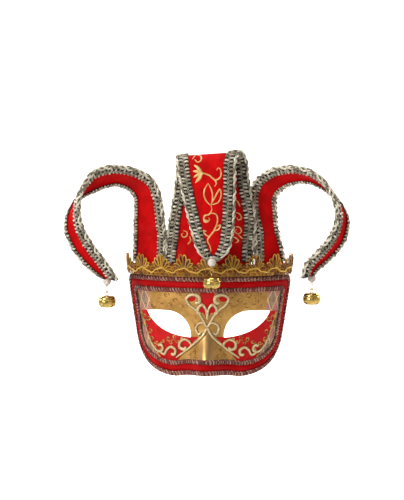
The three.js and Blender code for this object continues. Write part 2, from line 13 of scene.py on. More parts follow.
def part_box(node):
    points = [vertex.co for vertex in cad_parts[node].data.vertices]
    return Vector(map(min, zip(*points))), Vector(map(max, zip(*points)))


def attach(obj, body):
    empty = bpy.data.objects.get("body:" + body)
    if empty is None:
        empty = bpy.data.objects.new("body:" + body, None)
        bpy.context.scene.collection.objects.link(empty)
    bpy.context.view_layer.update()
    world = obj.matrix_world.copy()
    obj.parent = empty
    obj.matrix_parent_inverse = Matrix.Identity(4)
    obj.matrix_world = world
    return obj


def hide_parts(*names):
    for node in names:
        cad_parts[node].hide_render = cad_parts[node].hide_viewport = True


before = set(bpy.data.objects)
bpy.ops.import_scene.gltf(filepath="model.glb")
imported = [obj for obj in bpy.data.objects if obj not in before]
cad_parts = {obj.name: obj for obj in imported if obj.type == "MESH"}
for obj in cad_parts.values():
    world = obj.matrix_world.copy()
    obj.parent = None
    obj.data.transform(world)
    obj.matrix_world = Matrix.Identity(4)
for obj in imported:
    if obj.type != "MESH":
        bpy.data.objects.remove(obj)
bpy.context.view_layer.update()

bl_info = {
    "name": "Jester mask",
    "version": (1, 0, 0),
    "blender": (4, 5, 0),
    "location": "View3D > Sidebar > Jester mask",
    "description": "Builds the visible pieces of a jester half mask around its packed frame",
    "category": "Object",
}

MM = 0.001

# Moulded face, as in the frame
FACE_WALL = 1.6
BROW_RADIUS = 89
CHIN_RADIUS = 73
FACE_DEPTH = 66
GIRTH_RADIUS = 77
FACE_HALF_GIRTH = 97.5
BROW_LEVEL = 44
BAND_TOP = 49.6
FACE_TOP = 60
CHIN_LEVEL = -55
CHEEK_REACH = 62
CHEEK_DROP = 42
TEMPLE_CORNER = 9
TAB_HALF_GIRTH = 84
FOREHEAD_LEAN = 3.2
NOSE_HEIGHT = 17
NOSE_NOTCH = 3
NOSE_HALF_WIDTH = 21
BRIDGE_HALF_WIDTH = 9
NOSE_DROP = 44
NOSE_FEATHER = 1.2
SOCKET_DEPTH = 4
EYE_INNER = 17.5
EYE_WIDTH = 47.5
EYE_LOW = -13.5
EYE_HEIGHT = 26.6

# Edge trim, from the rim inwards
RIM_MARGIN = 0.4
GIMP_WIDTH = 5.2
RIBBON_WIDTH = 5.4
SEAT_GAP = 0.3
RIBBON_OVERLAP = 0.4
RIBBON_CROWN = 1.5
GIMP_CORD = 0.74
GIMP_BRIGHT_CORD = 0.42

# Paint
SCROLL_START_SWELL = 1.65
SCROLL_END_SWELL = 1.5
SCROLL_LIFT = 0.5
PAINT_LIFT = 0.05
DIAMOND_WIDTH = 12.5
DIAMOND_HEIGHT = 24

# Lace
LACE_HEIGHT = 26
LACE_HALF_GIRTH = 93
LACE_RISE = 5.2
LACE_END_DROP = 3.6
LACE_FANS = 9
LACE_CHAIN_PITCH = 4.3
LACE_END_FINGER = 91

# Horns
CLOTH_GAP = 0.5
PANEL_THICKNESS = 1.6
BRAID_WALL = 0.9
BRAID_GAP = 0.55
NARROW_BRAID = 5
WIDE_BRAID = 9.5
CENTRE_BRAID = 12
SIDE_SIZE = (146, 34, 165)
CENTRE_SIZE = (50, 24, 185)
CLING_FADE = 30
CLING_SHARE = 0.3
BRAID_START = 3
BAR_LIFT = 0.6
ZIGZAG_CORD = 0.34
ROPE_CORD = 1.1
ROPE_SWING = 2.2
ROPE_LIFT = 0.75
ROPE_TONES = (1.0, 0.3, 0.8)

# Drops
PEARL_RADIUS = 4.4
WIRE_RADIUS = 0.5
EYE_LOOP_RADIUS = 1.9
EYE_LOOP_LENGTH = 3.4
SHANK_RADIUS = 2.2
SHANK_SINK = 0.8
BELL_RADIUS = 9.4
BELL_HEIGHT = 13
BELL_WALL = 0.8
SLOT_REACH = 7.3
SLOT_HALF_WIDTH = 0.55
SLOT_END_RADIUS = 1.5

# Camera, in the photo's pixels and the millimetres that one of them covers
PHOTO_HEIGHT = 500
PIXEL_SIZE = 1.035

# Columns: first edge across, depth, height; second edge across, depth, height; bow. All are shares of the
# horn's size.
LEFT_HORN_ROWS = np.array([
    (-0.535, 0.85, 0.33, -0.31, 0.2, 0.33, 0),
    (-0.53, 0.7, 0.59, -0.306, 0.12, 0.6, 0),
    (-0.535, 0.5, 0.81, -0.376, -0.1, 0.9, 0),
    (-0.65, 0.2, 0.875, -0.555, -0.35, 0.99, 0),
    (-0.795, -0.1, 0.84, -0.775, -0.68, 0.975, 0),
    (-0.935, -0.26, 0.77, -0.88, -0.97, 0.83, 0),
    (-1, -0.38, 0.62, -0.875, -0.9, 0.65, 0),
    (-0.95, -0.32, 0.48, -0.81, -0.63, 0.52, 0),
    (-0.84, -0.15, 0.355, -0.713, -0.38, 0.395, 0),
    (-0.745, -0.03, 0.293, -0.632, -0.26, 0.28, 0),
])
RIGHT_HORN_ROWS = np.array([
    (0.545, 0.88, 0.33, 0.338, 0.24, 0.33, 0),
    (0.495, 0.7, 0.59, 0.328, 0.4, 0.58, 0),
    (0.488, 0.58, 0.7, 0.298, 0.48, 0.73, 0),
    (0.49, 0.45, 0.8, 0.312, 0.36, 0.87, 0),
    (0.56, 0.32, 0.865, 0.42, 0.02, 0.965, 0),
    (0.685, 0.09, 0.897, 0.6, -0.47, 1, 0),
    (0.8, -0.12, 0.87, 0.76, -0.7, 0.9625, 0),
    (0.91, -0.24, 0.795, 0.873, -0.91, 0.85, 0),
    (0.99, -0.35, 0.677, 0.916, -0.97, 0.712, 0),
    (0.973, -0.32, 0.54, 0.87, -0.72, 0.576, 0),
    (0.887, -0.235, 0.434, 0.785, -0.56, 0.48, 0),
    (0.8, -0.13, 0.362, 0.695, -0.37, 0.39, 0),
    (0.757, -0.07, 0.322, 0.672, -0.26, 0.3, 0),
])
CENTRE_HORN_ROWS = np.array([
    (-0.9, 0.28, 0.287, 0.92, 0.28, 0.287, -0.3),
    (-0.86, 0.26, 0.42, 0.93, 0.26, 0.45, -0.3),
    (-0.8, 0.24, 0.56, 0.99, 0.22, 0.58, -0.25),
    (-0.67, 0.22, 0.77, 0.87, 0.2, 0.77, -0.12),
    (-0.62, 0.16, 0.915, 0.78, 0.16, 0.94, 0),
    (-0.61, -0.2, 0.943, 0.68, -0.2, 0.968, 0),
    (-0.6, -0.66, 0.91, 0.6, -0.66, 0.925, 0.05),
    (-0.48, -0.8, 0.745, 0.58, -0.8, 0.745, 0.12),
    (-0.28, -0.75, 0.52, 0.53, -0.75, 0.52, 0.12),
    (-0.16, -0.66, 0.42, 0.43, -0.66, 0.42, 0.08),
    (0.05, -0.6, 0.36, 0.18, -0.6, 0.36, 0),
])

# Scroll lines of one side: half width at start and end, then points as shares of the eye's size from the bridge
SCROLLS = [
    (0.8, 1.5, [(0, -0.12), (0.21, 0.5), (0.41, 0.8), (0.455, 1.02), (0.33, 1.165), (0.18, 1.07), (0.18, 0.87),
                (0.27, 0.84)]),
    (0.8, 1.35, [(0, 0.2), (0.03, 0.6), (0.115, 0.78), (0.205, 0.6), (0.2, 0.46), (0.14, 0.44)]),
    (0.8, 1.15, [(0, -0.12), (0.08, 0.06), (0.18, 0.04), (0.25, -0.16), (0.18, -0.38), (0.12, -0.3)]),
    (1.1, 0.75, [(0, -0.12), (0.1, -0.45), (0.36, -0.88), (0.69, -1.33)]),
    (0.8, 1.35, [(0.34, -0.87), (0.38, -0.7), (0.49, -0.6), (0.6, -0.72), (0.6, -0.92), (0.5, -0.98),
                 (0.46, -0.88)]),
    (0.45, 1.2, [(1.42, 0.1), (1.37, -0.25), (1.29, -0.68), (1.18, -1.0), (1.06, -1.13), (0.98, -1.02),
                 (1.02, -0.86), (1.1, -0.9)]),
    (0.9, 1.25, [(1.06, -1.13), (0.95, -1.22), (0.89, -1.03), (0.8, -0.92), (0.7, -1.02), (0.72, -1.2),
                 (0.8, -1.18)]),
]


def smoothstep(x, low, high):
    """0 below low, 1 above high, and 3t^2 - 2t^3 between."""
    t = np.clip((x - low) / (high - low), 0, 1)
    return t * t * (3 - 2 * t)


def unit(v):
    """Each vector divided by its length."""
    return v / np.maximum(np.linalg.norm(v, axis=-1, keepdims=True), 1e-9)


def linear(red, green, blue):
    """A screen colour of 0 to 255 in each channel as linear light, with full alpha."""
    c = np.array([red, green, blue]) / 255
    light = np.where(c <= 0.04045, c / 12.92, ((c + 0.055) / 1.055) ** 2.4)
    return (*light.tolist(), 1.0)


def plan_radius(z):
    """Radius of the face seen from above, growing evenly from the chin's level to the brow's."""
    return CHIN_RADIUS + (z - CHIN_LEVEL) / (BROW_LEVEL - CHIN_LEVEL) * (BROW_RADIUS - CHIN_RADIUS)


def girth_at(x, z):
    """Distance round the face of a point at x seen from the front: radius times the arc sine of its share."""
    return GIRTH_RADIUS * np.arcsin(np.clip(x / plan_radius(z), -1, 1))


def to_girth(flat):
    """Points of x and height seen from the front, as girth and height."""
    return np.stack([girth_at(flat[:, 0], flat[:, 1]), flat[:, 1]], axis=1)


def nose_swell(x, z):
    """The nose: a raised cosine across, growing by a smooth step from the bridge down to its tip."""
    down = smoothstep(-z, 0, NOSE_DROP)
    half_width = (BRIDGE_HALF_WIDTH + (NOSE_HALF_WIDTH - BRIDGE_HALF_WIDTH) * down) * NOSE_FEATHER
    across = np.minimum(1, np.abs(x) / half_width)
    return NOSE_HEIGHT * down * (1 + np.cos(np.pi * across)) / 2


def socket_hollow(x, z):
    """A bell-shaped hollow round the middle of each eye hole."""
    from_middle = (np.abs(x) - EYE_INNER - EYE_WIDTH / 2) / (EYE_WIDTH / 2)
    from_level = (z - EYE_LOW - EYE_HEIGHT * 0.6) / (EYE_HEIGHT / 2)
    return SOCKET_DEPTH * np.exp(-(from_middle ** 2) - from_level ** 2)


def skin(girth, z):
    """Outer face: x = R(z) sin(g/r), y = D(1 - cos(g/r)) + lean - nose + socket, at height z."""
    girth, z = np.broadcast_arrays(np.asarray(girth, float), np.asarray(z, float))
    turn = girth / GIRTH_RADIUS
    x = plan_radius(z) * np.sin(turn)
    lean = FOREHEAD_LEAN * (np.maximum(z, 0) / BROW_LEVEL) ** 2
    hollow = socket_hollow(x, z) - socket_hollow(0.0, 0.0)
    y = FACE_DEPTH * (1 - np.cos(turn)) + lean - nose_swell(x, z) + hollow - FACE_WALL
    return np.stack([x, y, z], axis=-1)


def face_normal(girth, z):
    """Outward normal of the outer face, from steps of half a millimetre each way."""
    reach = 0.5
    across = skin(girth + reach, z) - skin(girth - reach, z)
    rise = skin(girth, z + reach) - skin(girth, z - reach)
    return unit(np.cross(across, rise))


def on_face(girth, z, up):
    """A point at a height above the outer face, along its normal."""
    return skin(girth, z) + np.asarray(up)[..., None] * face_normal(girth, z)


def run_along(points):
    """Length run along straight steps from the first point to each one."""
    return np.concatenate([[0], np.cumsum(np.linalg.norm(np.diff(points, axis=0), axis=1))])


def round_angles(count):
    """Angles evenly round a circle."""
    return 2 * np.pi * np.arange(count) / count


def catmull(points, share):
    """Centripetal Catmull-Rom curve through the points; share 0 to 1 counts its spans evenly."""
    points = np.asarray(points, float)
    share = np.asarray(share, float)
    padded = np.vstack([2 * points[0] - points[1], points, 2 * points[-1] - points[-2]])
    spot = np.clip(share, 0, 1) * (len(points) - 1)
    span = np.minimum(spot.astype(int), len(points) - 2)
    t = (spot - span)[..., None]
    p0, p1, p2, p3 = (padded[span + k] for k in range(4))
    d0, d1, d2 = (np.linalg.norm(b - a, axis=-1, keepdims=True) ** 0.5
                  for a, b in ((p0, p1), (p1, p2), (p2, p3)))
    d1 = np.where(d1 < 1e-4, 1, d1)
    d0 = np.where(d0 < 1e-4, d1, d0)
    d2 = np.where(d2 < 1e-4, d1, d2)
    m1 = ((p1 - p0) / d0 - (p2 - p0) / (d0 + d1) + (p2 - p1) / d1) * d1
    m2 = ((p2 - p1) / d1 - (p3 - p1) / (d1 + d2) + (p3 - p2) / d2) * d1
    return p1 + t * (m1 + t * (-3 * p1 + 3 * p2 - 2 * m1 - m2 + t * (2 * p1 - 2 * p2 + m1 + m2)))


def even_points(points, step):
    """Points a step apart along a curve through the given ones."""
    fine = catmull(points, np.linspace(0, 1, 60 * len(points)))
    run = run_along(fine)
    count = max(4, int(math.ceil(run[-1] / step)))
    spots = np.linspace(0, run[-1], count + 1)
    return np.stack([np.interp(spots, run, fine[:, k]) for k in range(fine.shape[1])], axis=1)


def shape(verts, faces, uvs, tone=0.0):
    """One part of a mesh: corner points, arrays of faces of like corner count, their UVs and a tone a point."""
    verts = np.asarray(verts, float)
    tone = np.broadcast_to(tone, verts.shape[:-1]).ravel()
    return {"verts": verts.reshape(-1, 3), "faces": faces, "uvs": uvs, "tone": tone}


def joined(parts):
    """Several parts as one, each part's faces counted on from the points before it."""
    starts = np.cumsum([0] + [len(p["verts"]) for p in parts])
    return {
        "verts": np.vstack([p["verts"] for p in parts]),
        "faces": [f + start for p, start in zip(parts, starts) for f in p["faces"]],
        "uvs": [u for p in parts for u in p["uvs"]],
        "tone": np.concatenate([p["tone"] for p in parts]),
    }


def grid_faces(rows, columns, closed_rows=False, closed_columns=False):
    """Quads of a grid of points, row by row, that may close on itself either way."""
    i = np.arange(rows if closed_rows else rows - 1)
    j = np.arange(columns if closed_columns else columns - 1)
    i, j = np.meshgrid(i, j, indexing="ij")
    i, j = i.ravel(), j.ravel()
    up, right = (i + 1) % rows, (j + 1) % columns
    quads = np.stack([i * columns + j, up * columns + j, up * columns + right, i * columns + right], axis=1)
    corners = np.stack([i, j, i + 1, j, i + 1, j + 1, i, j + 1], axis=1).reshape(-1, 4, 2)
    return quads, corners


def tubes(paths, normals, radii, sides=6, closed=False, flat=1.0, tone=0.0):
    """Tubes along paths: a ring of radius r round each point, in the plane of its side and its normal."""
    paths = paths if np.ndim(paths) == 3 else paths[None]
    normals = np.broadcast_to(normals, paths.shape)
    count, length = paths.shape[:2]
    if closed:
        along = np.roll(paths, -1, axis=1) - np.roll(paths, 1, axis=1)
    else:
        along = np.gradient(paths, axis=1)
    side = unit(np.cross(along, normals))
    up = unit(np.cross(side, along))
    angle = round_angles(sides)[:, None]
    ring = np.cos(angle) * side[:, :, None] + flat * np.sin(angle) * up[:, :, None]
    radii = np.broadcast_to(radii, (count, length))
    verts = paths[:, :, None] + radii[:, :, None, None] * ring
    quads, corners = grid_faces(length, sides, closed_rows=closed, closed_columns=True)
    steps = np.linalg.norm(np.diff(paths, axis=1, append=paths[:, :1]), axis=2)
    run = np.concatenate([np.zeros((count, 1)), np.cumsum(steps, axis=1)], axis=1)
    around = np.broadcast_to(corners[..., 1] / sides, (count, *corners.shape[:2]))
    uv = np.stack([run[:, corners[..., 0]] * MM, around], axis=-1)
    offsets = (np.arange(count) * length * sides)[:, None, None]
    faces = [(quads + offsets).reshape(-1, 4)]
    uvs = [uv.reshape(-1, 4, 2)]
    if not closed:
        first = np.arange(sides)[None] + offsets[:, 0]
        caps = np.concatenate([first, first[:, ::-1] + (length - 1) * sides])
        faces.append(caps)
        uvs.append(np.zeros((len(caps), sides, 2)))
    tone = np.asarray(tone, float)
    if tone.ndim == 1:
        tone = tone[None] if count == 1 else tone[:, None]
    if tone.ndim == 2:
        tone = tone[:, :, None]
    return shape(verts, faces, uvs, tone)


def make_mesh(name, part, attributes=None, face_slots=None):
    """A mesh from whole arrays: points in metres, faces, a UV map and named numbers on its points."""
    mesh = bpy.data.meshes.new(name)
    mesh.vertices.add(len(part["verts"]))
    mesh.vertices.foreach_set("co", (part["verts"] * MM).astype(np.float32).ravel())
    corners = np.concatenate([f.ravel() for f in part["faces"]]).astype(np.int32)
    sizes = np.concatenate([np.full(len(f), f.shape[1]) for f in part["faces"]]).astype(np.int32)
    mesh.loops.add(len(corners))
    mesh.loops.foreach_set("vertex_index", corners)
    mesh.polygons.add(len(sizes))
    mesh.polygons.foreach_set("loop_start", np.concatenate([[0], np.cumsum(sizes)[:-1]]).astype(np.int32))
    mesh.polygons.foreach_set("loop_total", sizes)
    mesh.polygons.foreach_set("use_smooth", np.ones(len(sizes), bool))
    if face_slots is not None:
        mesh.polygons.foreach_set("material_index", face_slots.astype(np.int32))
    uvs = np.concatenate([u.reshape(-1, 2) for u in part["uvs"]]).astype(np.float32)
    mesh.uv_layers.new(name="UVMap").data.foreach_set("uv", uvs.ravel())
    for key, values in {"tone": part["tone"], **(attributes or {})}.items():
        layer = mesh.attributes.new(key, "FLOAT", "POINT")
        layer.data.foreach_set("value", np.asarray(values, np.float32))
    mesh.update(calc_edges=True)
    mesh.validate()
    return mesh


def place_object(name, data):
    """A new object of the scene."""
    made = bpy.data.objects.new(name, data)
    bpy.context.scene.collection.objects.link(made)
    return made


def make_piece(name, mesh, materials, stands_for=(), body="mask"):
    """An object at the origin that rides on a body and stands for nodes of the frame."""
    piece = place_object(name, mesh)
    for material in materials:
        mesh.materials.append(material)
    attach(piece, body)
    if stands_for:
        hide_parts(*stands_for)
    return piece


# Materials

class Nodes:
    """A shader tree with short ways to add nodes. An input is a number, a colour or another node's output."""

    def __init__(self, tree):
        self.tree = tree

    def put(self, socket, value):
        """A socket linked to an output, or set to a plain value."""
        if isinstance(value, bpy.types.NodeSocket):
            self.tree.links.new(value, socket)
        else:
            socket.default_value = value

    def add(self, kind, inputs=None, **settings):
        """One node, its settings made and its inputs put in."""
        made = self.tree.nodes.new(f"ShaderNode{kind}")
        for key, value in settings.items():
            setattr(made, key, value)
        for key, value in (inputs or {}).items():
            self.put(made.inputs[key], value)
        return made

    def maths(self, operation, *values):
        """The value of one Math node."""
        return self.add("Math", dict(enumerate(values)), operation=operation).outputs[0]

    def times(self, first, second):
        """The product of two values."""
        return self.maths("MULTIPLY", first, second)

    def plus(self, first, second):
        """The sum of two values."""
        return self.maths("ADD", first, second)

    def fade(self, value, low, high, to_low=0.0, to_high=1.0):
        """A smooth step of a value from to_low to to_high."""
        inputs = {"Value": value, "From Min": low, "From Max": high, "To Min": to_low, "To Max": to_high}
        return self.add("MapRange", inputs, interpolation_type="SMOOTHSTEP").outputs[0]

    def mix(self, share, first, second):
        """Two colours mixed by a share."""
        return self.add("Mix", {0: share, 6: first, 7: second}, data_type="RGBA").outputs[2]

    def noise(self, vector, scale, detail=2.0, roughness=0.5, distortion=0.0):
        """The grey value of a noise texture."""
        inputs = dict(Vector=vector, Scale=scale, Detail=detail, Roughness=roughness, Distortion=distortion)
        return self.add("TexNoise", inputs).outputs[0]

    def split(self, vector):
        """The three numbers of a vector."""
        return self.add("SeparateXYZ", {0: vector}).outputs

    def stretched(self, vector, by):
        """A vector times another, number by number."""
        return self.add("VectorMath", {0: vector, 1: by}, operation="MULTIPLY").outputs[0]

    def attribute(self, name):
        """A named number stored on the piece's points."""
        return self.add("Attribute", attribute_name=name, attribute_type="GEOMETRY").outputs["Fac"]

    def bump(self, height, distance, strength):
        """The normal of a height, whose full step is a distance in metres."""
        return self.add("Bump", {"Height": height, "Distance": distance, "Strength": strength}).outputs[0]

    def shared(self, name, inputs):
        """The outputs of a shared group placed with its own inputs."""
        return self.add("Group", inputs, node_tree=bpy.data.node_groups[name]).outputs


class Finish(Nodes):
    """A new material: nodes round one Principled shader, with object and UV coordinates to read."""

    def __init__(self, name):
        self.material = bpy.data.materials.new(name)
        self.material.use_nodes = True
        super().__init__(self.material.node_tree)
        self.tree.nodes.clear()
        self.shader = self.add("BsdfPrincipled")
        self.add("OutputMaterial", {0: self.shader.outputs[0]})
        coords = self.add("TexCoord").outputs
        self.place, self.uv = coords["Object"], coords["UV"]

    def made_with(self, sockets):
        """The material, with the shader's sockets put in."""
        for key, value in sockets.items():
            self.put(self.shader.inputs[key], value)
        return self.material


def new_group(name, inputs, outputs):
    """A shared group of nodes, its inputs and its outputs: an input without a default is a vector."""
    tree = bpy.data.node_groups.new(name, "ShaderNodeTree")
    for label, default in inputs.items():
        kind = "NodeSocketVector" if default is None else "NodeSocketFloat"
        socket = tree.interface.new_socket(label, in_out="INPUT", socket_type=kind)
        if default is not None:
            socket.default_value = default
    for label in outputs:
        tree.interface.new_socket(label, in_out="OUTPUT", socket_type="NodeSocketFloat")
    return Nodes(tree), tree.nodes.new("NodeGroupInput").outputs, tree.nodes.new("NodeGroupOutput").inputs


def thread_ply_group():
    """Plies twisted round each other: a sine over the UV, and a few bright specks that serve as painted glints."""
    inputs = {"UV": None, "Turns per metre": 500.0, "Plies": 3.0}
    nodes, given, result = new_group("Thread ply", inputs, ["Height", "Glint"])
    along, around = nodes.split(given["UV"])[:2]
    twist = nodes.plus(nodes.times(along, given["Turns per metre"]), nodes.times(around, given["Plies"]))
    wave = nodes.maths("SINE", nodes.times(twist, 2 * math.pi))
    nodes.put(result["Height"], nodes.maths("MULTIPLY_ADD", wave, 0.5, 0.5))
    # painted glints: a few bright specks along the thread
    specks = nodes.noise(nodes.stretched(given["UV"], (900.0, 6.0, 1.0)), 1.0, 1.0)
    nodes.put(result["Glint"], nodes.fade(specks, 0.5, 0.72))


def cloth_weave_group():
    """Threads crossing over and under: a product of two sines, with a slow change of shade."""
    inputs = {"UV": None, "Threads per metre": 1800.0}
    nodes, given, result = new_group("Cloth weave", inputs, ["Height", "Shade"])
    scaled = nodes.add("VectorMath", {0: given["UV"], "Scale": given["Threads per metre"]}, operation="SCALE")
    warp, weft = (nodes.maths("SINE", nodes.times(way, math.pi)) for way in nodes.split(scaled.outputs[0])[:2])
    nodes.put(result["Height"], nodes.times(warp, weft))
    nodes.put(result["Shade"], nodes.noise(given["UV"], 55.0, 3.0, 0.6))


def glitter_group():
    """Small flat grains: each cell of a fine Voronoi pattern has its own brightness, height and tint; the Spark of
    the brightest cells is a painted glint.
    """
    inputs = {"Vector": None, "Grains per metre": 2200.0}
    nodes, given, result = new_group("Glitter", inputs, ["Spark", "Height", "Tint"])
    cells = nodes.add("TexVoronoi", {"Vector": given["Vector"], "Scale": given["Grains per metre"]})
    bright, height, tint = nodes.add("SeparateColor", {0: cells.outputs["Color"]}).outputs
    nodes.put(result["Spark"], nodes.fade(bright, 0.72, 0.9))
    nodes.put(result["Height"], height)
    nodes.put(result["Tint"], tint)


def shell_paint(colours):
    """Front of the shell: antique gold, red fields, a bright nose and glittered diamonds at the sides."""
    paint = Finish("shell_paint")
    wobble = paint.times(paint.plus(paint.noise(paint.place, 300.0), -0.5), 0.7)
    red_share, side_share = (paint.fade(paint.plus(paint.attribute(name), wobble), -0.3, 0.3, 1.0, 0.0)
                             for name in ("red_field", "side_field"))
    nose_share = paint.fade(paint.attribute("nose_field"), -2.5, 1.0, 1.0, 0.0)
    mottle = paint.noise(paint.place, 90.0, 4.0, 0.65, 0.6)
    crust = paint.noise(paint.place, 420.0, 3.0, 0.7, 0.8)
    gold = paint.mix(paint.fade(mottle, 0.3, 0.7, 0.35, 1.0), colours.gold_dark, colours.gold)
    gold = paint.mix(paint.fade(crust, 0.55, 0.75, 0.0, 0.4), gold, colours.gold_light)
    gold = paint.mix(nose_share, gold, colours.nose)
    red = paint.mix(paint.fade(mottle, 0.3, 0.7, 0.4, 0.9), colours.red_dark, colours.red)
    patch, grains = diamond_patch(paint, colours)
    metal = paint.times(paint.fade(red_share, 0.0, 1.0, 0.75, 0.0), paint.fade(side_share, 0.0, 1.0, 1.0, 0.4))
    smooth = paint.fade(paint.maths("MAXIMUM", nose_share, red_share), 0.0, 1.0, 1.0, 0.12)
    height = paint.plus(paint.times(crust, smooth), paint.times(paint.times(grains, side_share), 0.5))
    return paint.made_with({
        "Base Color": paint.mix(side_share, paint.mix(red_share, gold, red), patch),
        "Metallic": metal,
        "Specular IOR Level": 0.2,
        "Roughness": paint.plus(paint.fade(nose_share, 0.0, 1.0, 0.46, 0.26), paint.times(crust, 0.16)),
        "Normal": paint.bump(height, 0.0005, 0.8),
    })


def diamond_patch(paint, colours):
    """Colour and grain height of the side patches: cells between two slanted families of lines, u + v and u - v,
    silver and pink by turns, with a pale line along each edge."""
    girth, level = paint.split(paint.uv)[:2]
    across = paint.times(girth, 1 / (DIAMOND_WIDTH * MM))
    up = paint.times(level, 1 / (DIAMOND_HEIGHT * MM))
    slants = [paint.plus(across, up), paint.maths("SUBTRACT", across, up)]
    odd = paint.maths("PINGPONG", paint.plus(*(paint.maths("FLOOR", slant) for slant in slants)), 1.0)
    glitter = paint.shared("Glitter", {"Vector": paint.place, "Grains per metre": 1500.0})
    silver = paint.mix(glitter["Tint"], colours.patch_dark, colours.patch)
    pink = paint.mix(glitter["Tint"], colours.patch_pink, colours.patch)
    edges = [paint.maths("ABSOLUTE", paint.plus(paint.maths("FRACT", slant), -0.5)) for slant in slants]
    border = paint.fade(paint.maths("MAXIMUM", *edges), 0.44, 0.475)
    return paint.mix(border, paint.mix(odd, silver, pink), colours.gold_light), glitter["Height"]


def lining_paper(colours):
    """Back of the shell: pressed pale paper with fibres and faint lumps, with painted shade in the lumps' hollows.
    """
    paint = Finish("lining_paper")
    fibre = paint.noise(paint.place, 900.0, 3.0, 0.7, 2.0)
    lumps = paint.noise(paint.place, 60.0, 3.0)
    # painted shade: darker where the lumps, which also make the bump, are low
    mottled = paint.mix(paint.fade(lumps, 0.3, 0.7), colours.lining_shade, colours.lining)
    return paint.made_with({
        "Base Color": paint.mix(paint.fade(fibre, 0.62, 0.75, 0.0, 0.5), mottled, colours.lining_fibre),
        "Roughness": 0.85,
        "Normal": paint.bump(paint.plus(fibre, paint.times(lumps, 2.0)), 0.0004, 0.6),
    })


def scroll_glitter(colours):
    """Raised lines in champagne glitter with painted glints on a few grains and painted shade down their flanks: UV
    v is 0.25 along the top of the line.
    """
    paint = Finish("scroll_glitter")
    glitter = paint.shared("Glitter", {"Vector": paint.place, "Grains per metre": 2600.0})
    grain = paint.mix(glitter["Tint"], colours.scroll_dark, colours.scroll)
    # painted glints: the brightest grains take the glint colour
    grain = paint.mix(glitter["Spark"], grain, colours.scroll_glint)
    from_top = paint.maths("ABSOLUTE", paint.plus(paint.split(paint.uv)[1], -0.25))
    return paint.made_with({
        # painted shade: the flank colour away from the top of the line
        "Base Color": paint.mix(paint.fade(from_top, 0.09, 0.17), grain, colours.scroll_flank_shade),
        "Roughness": paint.fade(glitter["Spark"], 0.0, 1.0, 0.45, 0.2),
        "Metallic": 0.55,
        "Normal": paint.bump(glitter["Height"], 0.00025, 0.8),
    })


def gold_line(name, dark, light, metallic):
    """Thin drawn lines of gold paint, worn darker in places."""
    paint = Finish(name)
    worn = paint.noise(paint.place, 260.0, 3.0, 0.7)
    return paint.made_with({
        "Base Color": paint.mix(paint.fade(worn, 0.38, 0.62), dark, light),
        "Metallic": metallic,
        "Roughness": paint.fade(worn, 0.3, 0.7, 0.5, 0.3),
        "Normal": paint.bump(worn, 0.0002, 0.6),
    })


def satin(name, light, dark):
    """Satin: a fine weave with painted shade in its low points, a slow change of shade, soft folds and a faint
    sheen.
    """
    paint = Finish(name)
    weave = paint.shared("Cloth weave", {"UV": paint.uv, "Threads per metre": 1900.0})
    share = paint.fade(weave["Shade"], 0.3, 0.7)
    colour = paint.mix(paint.fade(share, 0.0, 1.0, 0.55, 1.0), dark, light)
    folds = paint.noise(paint.stretched(paint.uv, (90.0, 22.0, 1.0)), 1.0)
    height = paint.plus(paint.times(folds, 6.0), paint.times(weave["Height"], 0.12))
    return paint.made_with({
        # painted shade: darker where the weave's height is low, between the threads
        "Base Color": paint.mix(paint.fade(weave["Height"], -1.0, 1.0, 0.25, 0.0), colour, dark),
        "Roughness": paint.fade(share, 0.0, 1.0, 0.62, 0.5),
        "Specular IOR Level": 0.06,
        "Sheen Weight": 0.02,
        "Sheen Roughness": 0.35,
        "Sheen Tint": light,
        "Normal": paint.bump(height, 0.0004, 0.7),
    })


def thread(name, dark, middle, light, metallic, turns=420.0):
    """Twisted thread whose tone attribute runs from dark through middle to a bright metal thread, with painted
    shade in the grooves between its plies and painted glints.
    """
    paint = Finish(name)
    tone = paint.attribute("tone")
    ply = paint.shared("Thread ply", {"UV": paint.uv, "Turns per metre": turns, "Plies": 3.0})
    colour = paint.mix(paint.fade(tone, 0.0, 0.5), dark, middle)
    colour = paint.mix(paint.fade(tone, 0.5, 1.0), colour, light)
    # painted shade: the dark colour laid into the grooves between the plies
    colour = paint.mix(paint.fade(ply["Height"], 0.0, 0.5, 0.55, 0.0), colour, dark)
    # painted glints: the light colour on the ply's specks, more on brighter threads
    glint = paint.times(ply["Glint"], paint.fade(tone, 0.1, 0.8))
    return paint.made_with({
        "Base Color": paint.mix(glint, colour, light),
        "Metallic": paint.times(paint.fade(tone, 0.15, 0.7), metallic),
        "Roughness": paint.fade(tone, 0.0, 1.0, 0.75, 0.36),
        "Normal": paint.bump(ply["Height"], 0.00025, 0.9),
    })


def pearl_lustre(colours):
    """Pearl: milky, with a slow pinkish cloud and a clear coat."""
    paint = Finish("pearl_lustre")
    cloud = paint.noise(paint.place, 160.0)
    return paint.made_with({
        "Base Color": paint.mix(paint.fade(cloud, 0.35, 0.65), colours.pearl_cloud, colours.pearl),
        "Roughness": paint.fade(cloud, 0.3, 0.7, 0.28, 0.2),
        "Coat Weight": 0.6,
        "Coat Roughness": 0.08,
        "Normal": paint.bump(paint.noise(paint.place, 700.0), 0.00005, 0.5),
    })


def polished_brass(colours):
    """Polished brass with faint dents and handling marks."""
    paint = Finish("polished_brass")
    marks = paint.noise(paint.place, 380.0, 4.0, 0.7)
    return paint.made_with({
        "Base Color": paint.mix(paint.fade(marks, 0.35, 0.75), colours.brass, colours.brass_mark),
        "Metallic": 1.0,
        "Roughness": paint.fade(marks, 0.3, 0.75, 0.1, 0.22),
        "Normal": paint.bump(paint.noise(paint.place, 240.0), 0.0001, 0.12),
    })


